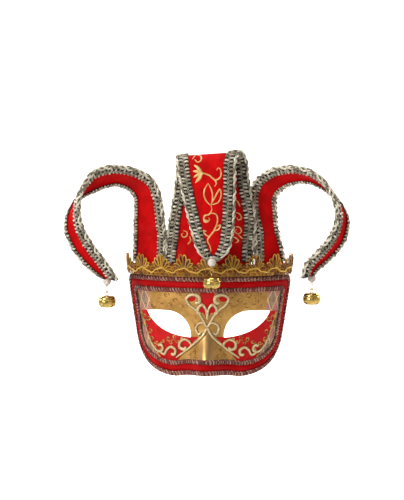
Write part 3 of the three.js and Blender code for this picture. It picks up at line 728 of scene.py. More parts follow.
def studio_paper():
    """Pale matt floor and sweep."""
    paint = Finish("studio_paper")
    grain = paint.fade(paint.noise(paint.place, 40.0), 0.3, 0.7)
    return paint.made_with({
        "Base Color": paint.mix(grain, (0.9, 0.9, 0.9, 1), (0.93, 0.93, 0.93, 1)),
        "Roughness": 0.9,
    })


# Shell

TOP_STRETCH = 4


def straight(start, end):
    """A straight stretch as a function of a share."""
    return lambda share: np.outer(1 - share, start) + np.outer(share, end)


def arc(middle, radii, start, end):
    """A stretch of an ellipse between two angles, as a function of a share."""
    def curve(share):
        angle = start + (end - start) * share
        return np.stack([middle[0] + radii[0] * np.cos(angle), middle[1] + radii[1] * np.sin(angle)], axis=1)

    return curve


def rim_parts(inset):
    """The rim's eight stretches at an inset, from the nose round, each a function of a share."""
    side = FACE_HALF_GIRTH - inset
    top = BAND_TOP - inset
    low = CHIN_LEVEL + inset
    chin = FACE_HALF_GIRTH - CHEEK_REACH
    cheek = CHIN_LEVEL + CHEEK_DROP
    corner = TEMPLE_CORNER - inset / 3
    reach, drop = CHEEK_REACH - inset, CHEEK_DROP - inset

    def nose_line(share):
        return np.stack([chin * (2 * share - 1), low + 4 * NOSE_NOTCH * share * (1 - share)], axis=1)

    return [
        nose_line,
        arc((chin, cheek), (reach, drop), -math.pi / 2, 0),
        straight((side, cheek), (side, top - corner)),
        arc((side - corner, top - corner), (corner, corner), 0, math.pi / 2),
        straight((side - corner, top), (corner - side, top)),
        arc((corner - side, top - corner), (corner, corner), math.pi / 2, math.pi),
        straight((-side, top - corner), (-side, cheek)),
        arc((-chin, cheek), (reach, drop), math.pi, 1.5 * math.pi),
    ]


def even_shares(length, step):
    """Shares about a step apart over a length, from 0 and short of 1."""
    count = max(2, math.ceil(length / step))
    return np.arange(count) / count


def stretch_shares(part, step):
    """Shares about a step apart along a stretch of the rim."""
    return even_shares(np.linalg.norm(np.diff(part(np.linspace(0, 1, 60)), axis=0), axis=1).sum(), step)


def rim_stations(step):
    """Stations round the rim about a step apart, alike at every inset: a stretch's number and shares along it."""
    return [(index, stretch_shares(part, step)) for index, part in enumerate(rim_parts(0))]


def rim_line(inset, stations):
    """Girth and height of the stations on the line at an inset."""
    parts = rim_parts(inset)
    return np.vstack([parts[index](share) for index, share in stations])


def face_outline(step):
    """The rim with the tab that stands behind the lace, as girth and height."""
    low, high = (-TAB_HALF_GIRTH, BAND_TOP), (TAB_HALF_GIRTH, FACE_TOP)
    tab = np.array([(high[0], low[1]), high, (low[0], high[1]), low], float)
    rows = []
    for index, part in enumerate(rim_parts(0)):
        if index == TOP_STRETCH:
            for start, end in zip(tab[:-1], tab[1:]):
                rows.append(straight(start, end)(even_shares(np.linalg.norm(end - start), step)))
            rows.append(tab[-1:])
        else:
            rows.append(part(stretch_shares(part, step)))
    return np.vstack(rows)


def bezier(points, count):
    """A cubic Bezier curve at even shares, its last point left out."""
    t = (np.arange(count) / count)[:, None]
    a, b, c, d = (np.array(p, float) for p in points)
    return (1 - t) ** 3 * a + 3 * (1 - t) ** 2 * t * b + 3 * (1 - t) * t * t * c + t ** 3 * d


def eye_line(side, count=44):
    """Rim of one eye hole, as girth and height, from three Bezier curves in shares of the eye's size."""
    spans = [
        [(0, 0), (-0.02, 0.42), (0.14, 0.9), (0.45, 1)],
        [(0.45, 1), (0.62, 1.03), (0.86, 1), (1, 0.96)],
        [(1, 0.96), (0.9, 0.5), (0.6, 0.06), (0, 0)],
    ]
    flat = np.vstack([bezier(span, count) for span in spans])
    x = side * (EYE_INNER + flat[:, 0] * EYE_WIDTH)
    z = EYE_LOW + flat[:, 1] * EYE_HEIGHT
    line = to_girth(np.stack([x, z], axis=1))
    return line if side > 0 else line[::-1]


def distance_to(points, line, closed=True):
    """Least distance from each point to a line of straight pieces."""
    ends = np.roll(line, -1, axis=0) if closed else line[1:]
    starts = line if closed else line[:-1]
    least = np.full(len(points), np.inf)
    for block in range(0, len(points), 4000):
        part = points[block:block + 4000, None]
        span = ends - starts
        share = np.sum((part - starts) * span, axis=2) / np.maximum(np.sum(span * span, axis=1), 1e-12)
        foot = starts + np.clip(share, 0, 1)[..., None] * span
        least[block:block + 4000] = np.linalg.norm(part - foot, axis=2).min(axis=1)
    return least


def inside(points, line):
    """Whether each point lies inside a closed line: it crosses an odd number of pieces to its right."""
    x, y = points[:, 0:1], points[:, 1:2]
    x0, y0 = line[:, 0], line[:, 1]
    x1, y1 = np.roll(x0, -1), np.roll(y0, -1)
    crosses = (y0 > y) != (y1 > y)
    at = x0 + (y - y0) * (x1 - x0) / np.where(y1 == y0, 1e-12, y1 - y0)
    return np.sum(crosses & (x < at), axis=1) % 2 == 1


def field(points, lines):
    """Signed distance to the nearest of several closed lines, under 0 inside one."""
    signed = [np.where(inside(points, line), -1, 1) * distance_to(points, line) for line in lines]
    return np.min(signed, axis=0)


def circle(x, z, radius, count=32):
    """Points round a circle."""
    angle = round_angles(count)
    return np.stack([x + radius * np.cos(angle), z + radius * np.sin(angle)], axis=1)


# Outlines of the painted fields on one side, as girth and height
PATCH_EDGE = [(77.5, 12), (76, 0), (69, -16), (60, -30), (51, -43)]
BROW_FIELD = [(-7.5, 40), (7.5, 40), (7, 33), (3.4, 12), (0, 4.2), (-3.4, 12), (-7, 33)]
CHEEK_FIELD = [(3.5, -12), (17.5, -13), (30, -4), (50, 10), (66.7, 12.4), *PATCH_EDGE, (40, -58), (35, -41),
               (20, -25), (8, -12)]
PATCH_FIELD = [(61.5, 70), (61.5, 12.6), *PATCH_EDGE, (55, -60), (120, -60), (120, 70)]
# Red discs in the scrolls' curls: girth, height and radius
CURL_DISCS = [(14.8, 27.6, 4.0), (5.7, 15.4, 3.4)]
NOSE_PAINT_TOP = -9
NOSE_PAINT_HALF_WIDTH = 6.5
NOSE_PAINT_SPREAD = 0.06


def paint_fields(flat):
    """Signed distances to the painted fields; the nose's is the larger of those to its sides and its top."""
    mirror = np.array([-1, 1])
    cheek, patch = np.array(CHEEK_FIELD), np.array(PATCH_FIELD)
    discs = [circle(side * x, z, r) for side in (1, -1) for x, z, r in CURL_DISCS]
    half_width = NOSE_PAINT_HALF_WIDTH - NOSE_PAINT_SPREAD * flat[:, 1]
    return {
        "red_field": field(flat, [np.array(BROW_FIELD), cheek, cheek * mirror, *discs]),
        "side_field": field(flat, [patch, patch * mirror]),
        "nose_field": np.maximum(np.abs(flat[:, 0]) - half_width, flat[:, 1] - NOSE_PAINT_TOP),
    }


EDGE_RINGS = (0.12, 0.35, 0.8)


def shell_shape(grain):
    """Front and back of the shell: a triangle net inside the outline and round the eyes, both faces drawn back
    by a quarter circle of half the wall near each edge, so that they meet in a rounded rim."""
    outline = face_outline(grain)
    rims = [outline, eye_line(1), eye_line(-1)]
    border = np.vstack(rims)
    rows = np.arange(CHIN_LEVEL, FACE_TOP, grain * 0.87)
    columns = np.arange(-FACE_HALF_GIRTH, FACE_HALF_GIRTH, grain)
    girth, z = np.meshgrid(columns, rows)
    girth = girth + np.where(np.arange(len(rows)) % 2 == 0, 0, grain / 2)[:, None]
    net = np.stack([girth.ravel(), z.ravel()], axis=1)

    def depth(points):
        return np.min([distance_to(points, rim) for rim in rims], axis=0)

    def within(points):
        return inside(points, outline) & ~inside(points, rims[1]) & ~inside(points, rims[2])

    net = net[within(net)]
    net = net[depth(net) > grain * 0.95]
    rings = []  # close lines of points along each edge, for its rounding
    for rim in rims:
        turn = 1 if rim is outline else -1
        if np.sum(rim[:, 0] * np.roll(rim[:, 1], -1) - np.roll(rim[:, 0], -1) * rim[:, 1]) < 0:
            turn = -turn
        along = unit(np.roll(rim, -1, axis=0) - np.roll(rim, 1, axis=0))
        inward = np.stack([-along[:, 1], along[:, 0]], axis=1) * turn
        for reach in EDGE_RINGS:
            ring = rim + inward * reach
            ring = ring[within(ring)]
            rings.append(ring[depth(ring) > reach * 0.9])
    flat = np.vstack([border, net, *rings])
    starts = np.cumsum([0] + [len(rim) for rim in rims])
    edges = [(start + i, start + (i + 1) % len(rim))
             for start, rim in zip(starts, rims) for i in range(len(rim))]
    found = delaunay_2d_cdt([Vector(p) for p in flat], edges, [], 0, 1e-5)
    flat = np.array([tuple(p) for p in found[0]])
    triangles = np.array([f for f in found[2] if len(f) == 3])
    triangles = triangles[within(flat[triangles].mean(axis=1))]
    a, b, c = (flat[triangles[:, k]] for k in range(3))
    area = (b[:, 0] - a[:, 0]) * (c[:, 1] - a[:, 1]) - (b[:, 1] - a[:, 1]) * (c[:, 0] - a[:, 0])
    triangles = np.where((area < 0)[:, None], triangles[:, ::-1], triangles)
    triangles = triangles[np.abs(area) > 1e-6]
    half = FACE_WALL / 2
    gap = np.minimum(depth(flat), half)
    drawn = half - np.sqrt(np.maximum(half ** 2 - (half - gap) ** 2, 0))
    front = on_face(flat[:, 0], flat[:, 1], -drawn)
    back = on_face(flat[:, 0], flat[:, 1], drawn - FACE_WALL)
    edge = gap < 1e-4
    number = np.arange(len(flat))
    behind = np.where(edge, number, len(flat) + np.cumsum(~edge) - 1)
    verts = np.vstack([front, back[~edge]])
    both = np.vstack([flat, flat[~edge]])
    faces = [triangles, behind[triangles][:, ::-1]]
    uvs = [flat[triangles] * MM, flat[triangles][:, ::-1] * MM]
    slots = np.concatenate([np.zeros(len(triangles)), np.ones(len(triangles))])
    return shape(verts, faces, uvs), both, slots


def build_shell(sizes, colours):
    """The painted shell with its paper lining."""
    part, flat, slots = shell_shape(sizes.shell_grain / MM)
    mesh = make_mesh("mask_shell", part, paint_fields(flat), slots)
    return make_piece("mask_shell", mesh, [shell_paint(colours), lining_paper(colours)], ["mask_face"])


def face_tube(line, half_width, height, sides=10, step=0.5, up=0.0):
    """A raised line on the face: a tube along girth and height, its section an ellipse half sunk in the skin."""
    points = even_points(line, step)
    middle = on_face(points[:, 0], points[:, 1], up)
    normal = face_normal(points[:, 0], points[:, 1])
    share = np.linspace(0, 1, len(points))
    radius = half_width[0] + (half_width[1] - half_width[0]) * smoothstep(share, 0.2, 1)
    ends = np.minimum(share, 1 - share) * len(points) * step
    rounded = np.sqrt(np.clip(1 - (1 - np.clip(ends / radius, 0, 1)) ** 2, 0.02, 1))
    return tubes(middle, normal, radius * rounded, sides, flat=height / max(half_width), tone=0.5)


def build_scrolls(sizes, colours):
    """Raised glitter scrolls of both sides, each line swelling towards its curled end."""
    eye = np.array([EYE_WIDTH, EYE_HEIGHT])
    parts = []
    for side in (1, -1):
        for start, end, points in SCROLLS:
            flat = np.array(points) * eye * (side, 1)
            line = to_girth(flat)
            widths = (start * SCROLL_START_SWELL, end * SCROLL_END_SWELL)
            parts.append(face_tube(line, widths, sizes.scroll_height / MM, up=SCROLL_LIFT))
    mesh = make_mesh("raised_scrolls", joined(parts))
    nodes = ["face_scroll", "right_cheek_scroll", "left_cheek_scroll"]
    return make_piece("raised_scrolls", mesh, [scroll_glitter(colours)], nodes)


# Fine swirls: middle across and height, radius, start angle in degrees, turns, and a tail's length and angle
BROW_SWIRLS = [
    (24, 30, 3.2, 200, 1.4, 6, 20), (33, 24, 3.6, 20, -1.3, 7, 200), (31, 33, 2.2, 120, 1.2, 4, 330),
    (42, 30, 3.4, 250, 1.4, 7, 10), (50, 24, 3.0, 60, -1.3, 6, 190), (54, 32, 2.6, 300, 1.3, 5, 150),
    (40, 20, 2.4, 180, 1.2, 5, 350), (23, 20, 2.2, 90, -1.2, 5, 260), (57, 18, 2.2, 210, 1.2, 4, 60),
    (13, 8, 1.8, 300, 1.2, 4, 100), (11, 0, 1.6, 80, -1.2, 3, 280),
]
CHEEK_SWIRLS = [
    (63, 4, 2.6, 200, 1.3, 4, 300), (66, -4, 2.4, 20, -1.3, 4, 120), (61, -9, 2.6, 220, 1.3, 4, 310),
    (59, -17, 2.4, 30, -1.3, 4, 120), (54, -21, 2.2, 230, 1.3, 4, 300), (68, 6, 1.8, 90, 1.2, 3, 250),
    (35, -14, 2.4, 160, 1.3, 4, 340), (41, -16, 2.2, 20, -1.3, 4, 200), (31, -18, 1.8, 240, 1.2, 3, 60),
    (47, -19, 1.8, 200, 1.2, 3, 20), (69, -3, 1.7, 60, 1.2, 3, 270), (64, -13, 1.8, 150, 1.2, 3, 250),
    (56, -27, 2.0, 30, 1.2, 3, 260), (49, -27, 2.0, 200, -1.2, 3, 300), (27, -15.5, 1.5, 100, 1.2, 3, 20),
    (71, 7, 1.6, 0, 1.2, 2, 180), (38, -20, 1.6, 300, 1.2, 3, 180),
]
NOSE_SWIRLS = [(14, -27, 2.0, 100, 1.3, 4, 250), (19, -32, 1.8, 300, -1.3, 3, 80),
               (12, -33, 1.6, 30, 1.2, 3, 200)]

# Gold line between the red cheek and the side patch, as girth and height
PATCH_BORDER = [(77, 11), (75.4, 0), (68.4, -16), (59.6, -30), (50.6, -43)]


def swirl_line(x, z, radius, start, turns, tail, heading):
    """A spiral whose radius grows evenly, and a curved tail that leaves its outer end."""
    share = np.linspace(0.12, 1, 22)
    angle = math.radians(start) + 2 * math.pi * turns * share
    spiral = np.stack([x + radius * share * np.cos(angle), z + radius * share * np.sin(angle)], axis=1)
    along = unit(spiral[-1] - spiral[-2])
    aim = np.array([math.cos(math.radians(heading)), math.sin(math.radians(heading))])
    run = np.linspace(0, 1, 7)[1:, None]
    return np.vstack([spiral, spiral[-1] + tail * run * (along * (1 - run) + aim * run)])


def build_swirls(sizes, colours):
    """Thin drawn swirls on the brow, the red cheeks and beside the nose."""
    half = sizes.swirl_width / MM / 2
    parts = []
    for side in (1, -1):
        for row in BROW_SWIRLS + CHEEK_SWIRLS + NOSE_SWIRLS:
            flat = swirl_line(*row) * (side, 1)
            line = to_girth(flat)
            parts.append(face_tube(line, (half, half), half * 0.9, sides=6, step=0.6, up=PAINT_LIFT))
        border = np.array(PATCH_BORDER) * (side, 1)
        parts.append(face_tube(border, (0.8, 0.8), 0.9, sides=8, step=0.6, up=PAINT_LIFT))
    gold = gold_line("swirl_gold", colours.swirl_dark, colours.swirl, 0.6)
    return make_piece("fine_swirls", make_mesh("fine_swirls", joined(parts)), [gold])


# Edge trim

def trim_base():
    """Rim stations a millimetre apart: their run along the middle of the trim and their lines at two insets."""
    stations = rim_stations(1.0)
    deep = RIM_MARGIN + 2 * GIMP_WIDTH + RIBBON_WIDTH + 2 * SEAT_GAP
    outer, inner = rim_line(0, stations), rim_line(deep, stations)
    middle = on_face((outer + inner)[:, 0] / 2, (outer + inner)[:, 1] / 2, 0.0)
    run = run_along(np.vstack([middle, middle[:1]]))
    return run, np.vstack([outer, outer[:1]]), np.vstack([inner, inner[:1]]), deep


def on_trim(base, run, inset, up):
    """Point and normal at a run along the trim, an inset from the rim and a height above the face."""
    runs, outer, inner, deep = base
    run = np.mod(run, runs[-1])
    share = inset / deep
    girth, z = ((1 - share) * np.interp(run, runs, outer[:, k]) + share * np.interp(run, runs, inner[:, k])
                for k in (0, 1))
    return on_face(girth, z, up), face_normal(girth, z)


def band(base, inset, width, low, crown, columns, tone):
    """A closed strip round the rim: flat below, and above a parabola crown over its width."""
    rows = int(base[0][-1] / 1.2)
    run = np.arange(rows)[:, None] / rows * base[0][-1]
    across = np.linspace(0, 1, columns)
    over = inset + width * across
    arch = low + crown * (0.25 + 0.75 * (1 - (2 * across - 1) ** 2))
    insets = np.concatenate([over, over[::-1]])
    ups = np.concatenate([arch, np.full(columns, low)])
    size = (rows, 2 * columns)
    points, _ = on_trim(base, np.broadcast_to(run, size), insets[None], np.broadcast_to(ups, size))
    quads, corners = grid_faces(rows, 2 * columns, closed_rows=True, closed_columns=True)
    lengths = np.append(run[:, 0], base[0][-1])
    uv = np.stack([corners[..., 1] * width / columns * MM, lengths[corners[..., 0].astype(int)] * MM], axis=-1)
    return shape(points, [quads], [uv], tone)


def gimp_shape(base, inset, sizes, random):
    """Looped gimp: a dark backing band as painted shade between the loops, two thick threads that swing half a turn
    apart and a thin bright one over them.
    """
    length = base[0][-1]
    loops = int(round(length / (sizes.gimp_pitch / MM)))
    per_loop = 12
    turns = np.arange(loops * per_loop) / per_loop
    angle = 2 * np.pi * turns
    middle = inset + GIMP_WIDTH / 2
    swing = GIMP_WIDTH / 2 - 0.75
    pitch = length / loops
    shade = np.repeat(random.uniform(0.35, 1.0, loops), per_loop)
    # dark band under the loops at tone 0.05: painted shade in the gaps between them
    parts = [band(base, inset + 0.5, GIMP_WIDTH - 1, 0.05, 0.7, 4, 0.05)]
    for turn, tone in ((0, shade), (np.pi, np.roll(shade, per_loop * 3) * 0.3)):
        run = turns * pitch + 0.3 * pitch * np.sin(angle + turn)
        up = 1.1 + 0.5 * np.sin(angle + turn + 0.8)
        points, normals = on_trim(base, run, middle + swing * np.cos(angle + turn), up)
        parts.append(tubes(points, normals, GIMP_CORD, 6, closed=True, tone=tone))
    run = turns * pitch + 0.3 * pitch * np.sin(angle + 1.2)
    up = 1.75 + 0.35 * np.sin(2 * angle)
    points, normals = on_trim(base, run, middle + 0.7 * swing * np.cos(angle + 1.2), up)
    bright = np.repeat(random.choice([0.45, 0.8, 1.0], loops, p=[0.4, 0.35, 0.25]), per_loop)
    parts.append(tubes(points, normals, GIMP_BRIGHT_CORD, 5, closed=True, tone=bright))
    return joined(parts)


def build_trim(sizes, colours):
    """Edge trim round the face: gimp, satin ribbon, gimp."""
    random = np.random.default_rng(5)
    base = trim_base()
    gimp = thread("wine_gimp", colours.gimp_dark, colours.gimp, colours.gimp_light, 0.35)
    insets = (RIM_MARGIN, RIM_MARGIN + GIMP_WIDTH + RIBBON_WIDTH + 2 * SEAT_GAP)
    for node_name, inset in zip(("outer_gimp", "inner_gimp"), insets):
        mesh = make_mesh(f"{node_name}_braid", gimp_shape(base, inset, sizes, random))
        make_piece(f"{node_name}_braid", mesh, [gimp], [node_name])
    start = RIM_MARGIN + GIMP_WIDTH - RIBBON_OVERLAP
    width = RIBBON_WIDTH + 2 * SEAT_GAP + 2 * RIBBON_OVERLAP
    mesh = make_mesh("satin_edge", band(base, start, width, 0.05, RIBBON_CROWN, 12, 0.5))
    ribbon = satin("ribbon_satin", colours.ribbon, colours.red_dark)
    make_piece("satin_edge", mesh, [ribbon], ["rim_ribbon"])


# Lace

def lace_points(girth, z, up):
    """A lace point and its normal, from girth and height above the band's foot. The rise drops by a smooth step
    past the tab's ends."""
    level = BAND_TOP + SEAT_GAP + z
    rise = LACE_RISE - LACE_END_DROP * smoothstep(np.abs(girth), TAB_HALF_GIRTH - 1, LACE_HALF_GIRTH + 2)
    return on_face(girth, level, rise + up), face_normal(girth, level)


def lace_loop(foot, width, height, lean, base, up, count=24):
    """One finger of a fan, as a closed loop: across w/2 sin(s)(0.35 + 0.65 rise) + lean rise, up base + height
    rise, with rise = (1 - cos s)/2, so that it is narrow at the foot and round at the top."""
    s = round_angles(count)
    rise = (1 - np.cos(s)) / 2
    girth = foot + width / 2 * np.sin(s) * (0.35 + 0.65 * rise) + lean * rise
    return lace_points(girth, base + height * rise, up + 0.35 * np.sin(s))


# Fingers of a fan: lean across and height
LACE_FINGERS = [(-8.2, 6.0), (-5.4, 10.5), (-2.0, 14.5), (2.0, 14.0), (5.4, 10.0), (8.2, 5.6)]
# Rows of chained loops: height, half its swing, its turn ahead and its lift over the face
LACE_CHAINS = [(1.7, 1.5, 0, 0.3), (2.0, 1.2, 2.4, -0.3), (4.9, 1.7, 1, 0.3), (4.6, 1.4, 3.9, -0.3),
               (7.6, 1.6, 0.5, 0.3), (7.4, 1.3, 3.3, -0.3), (9.6, 1.4, 2.1, -0.2)]


def build_lace(sizes, colours):
    """Gold thread lace: fans of looped fingers over rows of chained loops, with a pale wavy cord in front; the
    darker tones of the inner loops and the lower rows are painted shade.
    """
    random = np.random.default_rng(11)
    thick = sizes.lace_thread / MM
    pitch = 2 * LACE_HALF_GIRTH / LACE_FANS
    outer, inner = [], []
    for fan in range(LACE_FANS):
        centre = -LACE_HALF_GIRTH + (fan + 0.5) * pitch
        for lean, height in LACE_FINGERS:
            shift, taller, tilt = random.normal(0, 0.3, 3)
            foot = centre + 0.3 * lean + shift
            outer.append(lace_loop(foot, 4.4, height + taller, 0.62 * lean + tilt, 6.6, 0.3))
            inner.append(lace_loop(foot, 2.2, 0.82 * height + taller, 0.55 * lean + tilt, 7.0, 0.5))
    for side in (1, -1):
        outer.append(lace_loop(side * LACE_END_FINGER, 3.4, 13, -side * 0.6, 4.0, 0.1))
        inner.append(lace_loop(side * LACE_END_FINGER, 1.8, 10, -side * 0.6, 4.4, 0.3))
    parts = []
    # outer loops take random tones from 0.5 to 1; inner loops take dark tones up to 0.35 as painted shade inside
    # each finger
    for loops, radius, low, high in ((outer, thick * 1.2, 0.5, 1.0), (inner, thick * 1.05, 0.0, 0.35)):
        points, normals = (np.array([loop[k] for loop in loops]) for k in (0, 1))
        parts.append(tubes(points, normals, radius, 6, closed=True, tone=random.uniform(low, high, len(loops))))
    loops = int(2 * LACE_HALF_GIRTH / LACE_CHAIN_PITCH)
    angle = 2 * np.pi * np.arange(loops * 14) / 14
    for level, swing, turn, lift in LACE_CHAINS:
        run = -LACE_HALF_GIRTH + (angle / (2 * np.pi) + 0.45 * np.sin(angle + turn)) * 2 * LACE_HALF_GIRTH / loops
        up = lift + 0.4 * np.sin(angle + turn + 1)
        points, normals = lace_points(run, level + swing * np.cos(angle + turn), up)
        # random tone for each half loop; rows with a lift under 0 lie lower and keep 0.4 of it as painted shade
        shade = np.repeat(random.uniform(0.1, 0.8, loops * 2), 7)
        parts.append(tubes(points, normals, thick * 1.1, 5, tone=shade if lift > 0 else shade * 0.4))
    girth = np.arange(-LACE_HALF_GIRTH, LACE_HALF_GIRTH, 0.8)
    wave = 5.2 + 2.2 * np.cos(2 * np.pi * (girth + LACE_HALF_GIRTH) / pitch - np.pi) + 0.5 * np.sin(girth * 0.9)
    points, normals = lace_points(girth, wave, 1.2)
    parts.append(tubes(points, normals, sizes.wave_cord / MM, 8, tone=1.0))
    lace = thread("lace_thread", colours.lace_dark, colours.lace, colours.lace_light, 0.6, 520.0)
    mesh = make_mesh("thread_lace", joined(parts))
    return make_piece("thread_lace", mesh, [lace], ["gold_lace"])


# Horns

class HornStrip:
    """A strip of cloth between two edge curves, bowed between them and laid on the face at its foot."""

    def __init__(self, rows, size):
        self.first = rows[:, 0:3] * size
        self.second = rows[:, 3:6] * size
        self.bows = rows[:, 6:7] * size[1]
        self.fine = np.linspace(0, 1, 600)
        middle = self.middle(np.zeros(600), self.fine)
        self.run = run_along(middle)
        clear = np.argmax(middle[:, 2] >= FACE_TOP + BRAID_START)
        self.start = self.run[clear]

    def share(self, run):
        """Share along the edge curves at a length along the middle line."""
        return np.interp(run, self.run, self.fine)

    def width(self, share):
        """Distance between the two edges."""
        return np.linalg.norm(catmull(self.first, share) - catmull(self.second, share), axis=-1)

    def middle(self, across, share):
        """Point of the middle surface, across from -1 to 1: lerp of the edges + bow (1 - across^2) normal, laid on
        the face at its foot."""
        a, b = catmull(self.first, share), catmull(self.second, share)
        free = a + (b - a) * ((across + 1) / 2)[..., None]
        ahead, back = np.minimum(1, share + 0.01), np.maximum(0, share - 0.01)
        along = sum(catmull(edge, ahead) - catmull(edge, back) for edge in (self.first, self.second))
        bow = catmull(self.bows, share) * (1 - across ** 2)[..., None]
        free = free + unit(np.cross(along, b - a)) * bow
        lace_top = BAND_TOP + LACE_HEIGHT
        cling = np.where(share > CLING_SHARE, 0, 1 - smoothstep(free[..., 2], lace_top, lace_top + CLING_FADE))
        girth = girth_at(free[..., 0], free[..., 2])
        laid = on_face(girth, free[..., 2], np.full(girth.shape, CLOTH_GAP + PANEL_THICKNESS / 2))
        return free + (laid - free) * cling[..., None]

    def place(self, across_length, share, up):
        """Point at a length across from the middle line, a share along and a height along the strip's normal."""
        across_length, share, up = np.broadcast_arrays(np.asarray(across_length, float), share, up)
        across = across_length / (self.width(share) / 2)
        step = 0.02
        ahead, back = np.minimum(1, share + step), np.maximum(0, share - step)
        along = self.middle(across, ahead) - self.middle(across, back)
        sideways = self.middle(across + step, share) - self.middle(across - step, share)
        return self.middle(across, share) + unit(np.cross(along, sideways)) * up[..., None]


FOLD_RADIUS = PANEL_THICKNESS / 2 + BRAID_GAP + BRAID_WALL / 2


def on_braid(strip, side, from_fold, run, lift):
    """Point and normal on a braid: from_fold runs across its section, half round the cloth's edge and then
    straight."""
    from_fold, run, lift = np.broadcast_arrays(np.asarray(from_fold, float), run, lift)
    share = strip.share(run)
    half = strip.width(share) / 2
    angle = np.clip(from_fold / FOLD_RADIUS, -np.pi / 2, np.pi / 2)
    beyond = np.maximum(np.abs(from_fold) - FOLD_RADIUS * np.pi / 2, 0)

    def at(height):
        radius = FOLD_RADIUS + height
        from_edge = np.minimum(FOLD_RADIUS - radius * np.cos(angle) + beyond, half - 0.2)
        return strip.place(side * (half - from_edge), share, radius * np.sin(angle))

    point = at(lift)
    return point, unit(at(lift + 0.4) - point)


def braid_shape(strip, side, width, lanes, sizes, random):
    """A flat metallic braid folded over the cloth's edge: a dark ground that is painted shade between the bars,
    rows of short bars in lanes on both faces, a zigzag thread between lanes, and a rope of twisted strands along
    the fold."""
    start, end = strip.start, strip.run[-1]
    reach = FOLD_RADIUS * np.pi / 2 + width - FOLD_RADIUS - 0.5
    rows = int((end - start) / 1.5)
    run = np.linspace(start, end, rows)
    over = np.linspace(-reach, reach, 22)
    section = np.concatenate([over, over[::-1]])
    lifts = np.concatenate([np.full(22, -0.05), np.full(22, -0.4)])
    ground, _ = on_braid(strip, side, section[None], run[:, None], lifts[None])
    quads, corners = grid_faces(rows, 44, closed_columns=True)
    uv = np.stack([corners[..., 0] * 1.5 * MM, corners[..., 1] * 0.5 * MM], axis=-1)
    caps = np.stack([np.arange(44), np.arange(44)[::-1] + (rows - 1) * 44])
    # ground at tone 0 under the bars: a dark sheet of painted shade in the gaps between them
    parts = [shape(ground, [quads, caps], [uv, np.zeros((2, 44, 2))], 0.0)]
    pitch = sizes.bar_pitch / MM
    bars = int((end - start) / pitch)
    first = FOLD_RADIUS * np.pi / 2 + 0.1
    lane = (reach + 0.2 - first) / lanes
    t = np.linspace(0, 1, 7)
    for face in (-1, 1):
        for index in range(lanes):
            lean = 0.12 * pitch * (1 if index % 2 == 0 else -1)
            along = start + (np.arange(bars)[:, None] + 0.25 + 0.5 * (index % 2)) * pitch + lean * (t - 0.5)[None]
            along = along + random.normal(0, 0.24, (bars, 1))
            across = face * (first + lane * (index + 0.02 + 0.96 * t[None] + random.normal(0, 0.06, (bars, 1))))
            lift = 0.1 + BAR_LIFT * np.sin(np.pi * t)[None] + random.normal(0, 0.1, (bars, 1))
            points, normals = on_braid(strip, side, across, np.clip(along, start, end), lift)
            rounded = np.sqrt(np.clip(1 - (2 * t - 1) ** 4, 0.15, 1))[None]
            radius = pitch * 0.3 * rounded * random.uniform(0.75, 1.2, (bars, 1))
            parts.append(tubes(points, normals, radius, 6, flat=0.75, tone=random.uniform(0.3, 1.0, bars)))
        fine = np.arange(start, end, pitch / 6)
        for index in range(1, lanes):
            zigzag = face * (first + lane * index + 0.8 * np.sin(2 * np.pi * (fine - start) / pitch))
            points, normals = on_braid(strip, side, zigzag, fine, 0.8)
            parts.append(tubes(points, normals, ZIGZAG_CORD, 5, tone=0.75))
    lead = sizes.rope_pitch / MM * len(ROPE_TONES)
    fine = np.arange(start, end, 1.1)
    for strand in range(len(ROPE_TONES)):
        angle = 2 * np.pi * ((fine - start) / lead + strand / len(ROPE_TONES))
        lift = 0.1 + ROPE_LIFT * np.cos(angle)
        points, normals = on_braid(strip, side, ROPE_SWING * np.sin(angle), fine, lift)
        parts.append(tubes(points, normals, ROPE_CORD, 7, tone=ROPE_TONES[strand]))
    return joined(parts)


def panel_shape(strip):
    """Cloth of a horn: both faces and edges as one closed band round the strip, from foot to tip."""
    rows = int(strip.run[-1] / 1.6)
    run = np.linspace(0, strip.run[-1], rows)
    share = strip.share(run)
    half = strip.width(share) / 2 - BRAID_WALL - BRAID_GAP
    columns = 26
    across = np.linspace(-1, 1, columns)
    section = np.concatenate([across, across[::-1]])
    thick = np.sqrt(np.clip(1 - np.abs(section) ** 12, 0.1, 1)) * PANEL_THICKNESS / 2
    ups = np.concatenate([thick[:columns], -thick[columns:]])
    length = section[None] * half[:, None]
    points = strip.place(length, share[:, None], ups[None])
    quads, corners = grid_faces(rows, 2 * columns, closed_columns=True)
    i, j = corners[..., 0].astype(int), corners[..., 1].astype(int) % (2 * columns)
    uv = np.stack([length[i, j] * MM, run[i] * MM], axis=-1)
    ends = np.stack([np.arange(2 * columns), np.arange(2 * columns)[::-1] + (rows - 1) * 2 * columns])
    return shape(points, [quads, ends], [uv, np.zeros((2, 2 * columns, 2))])


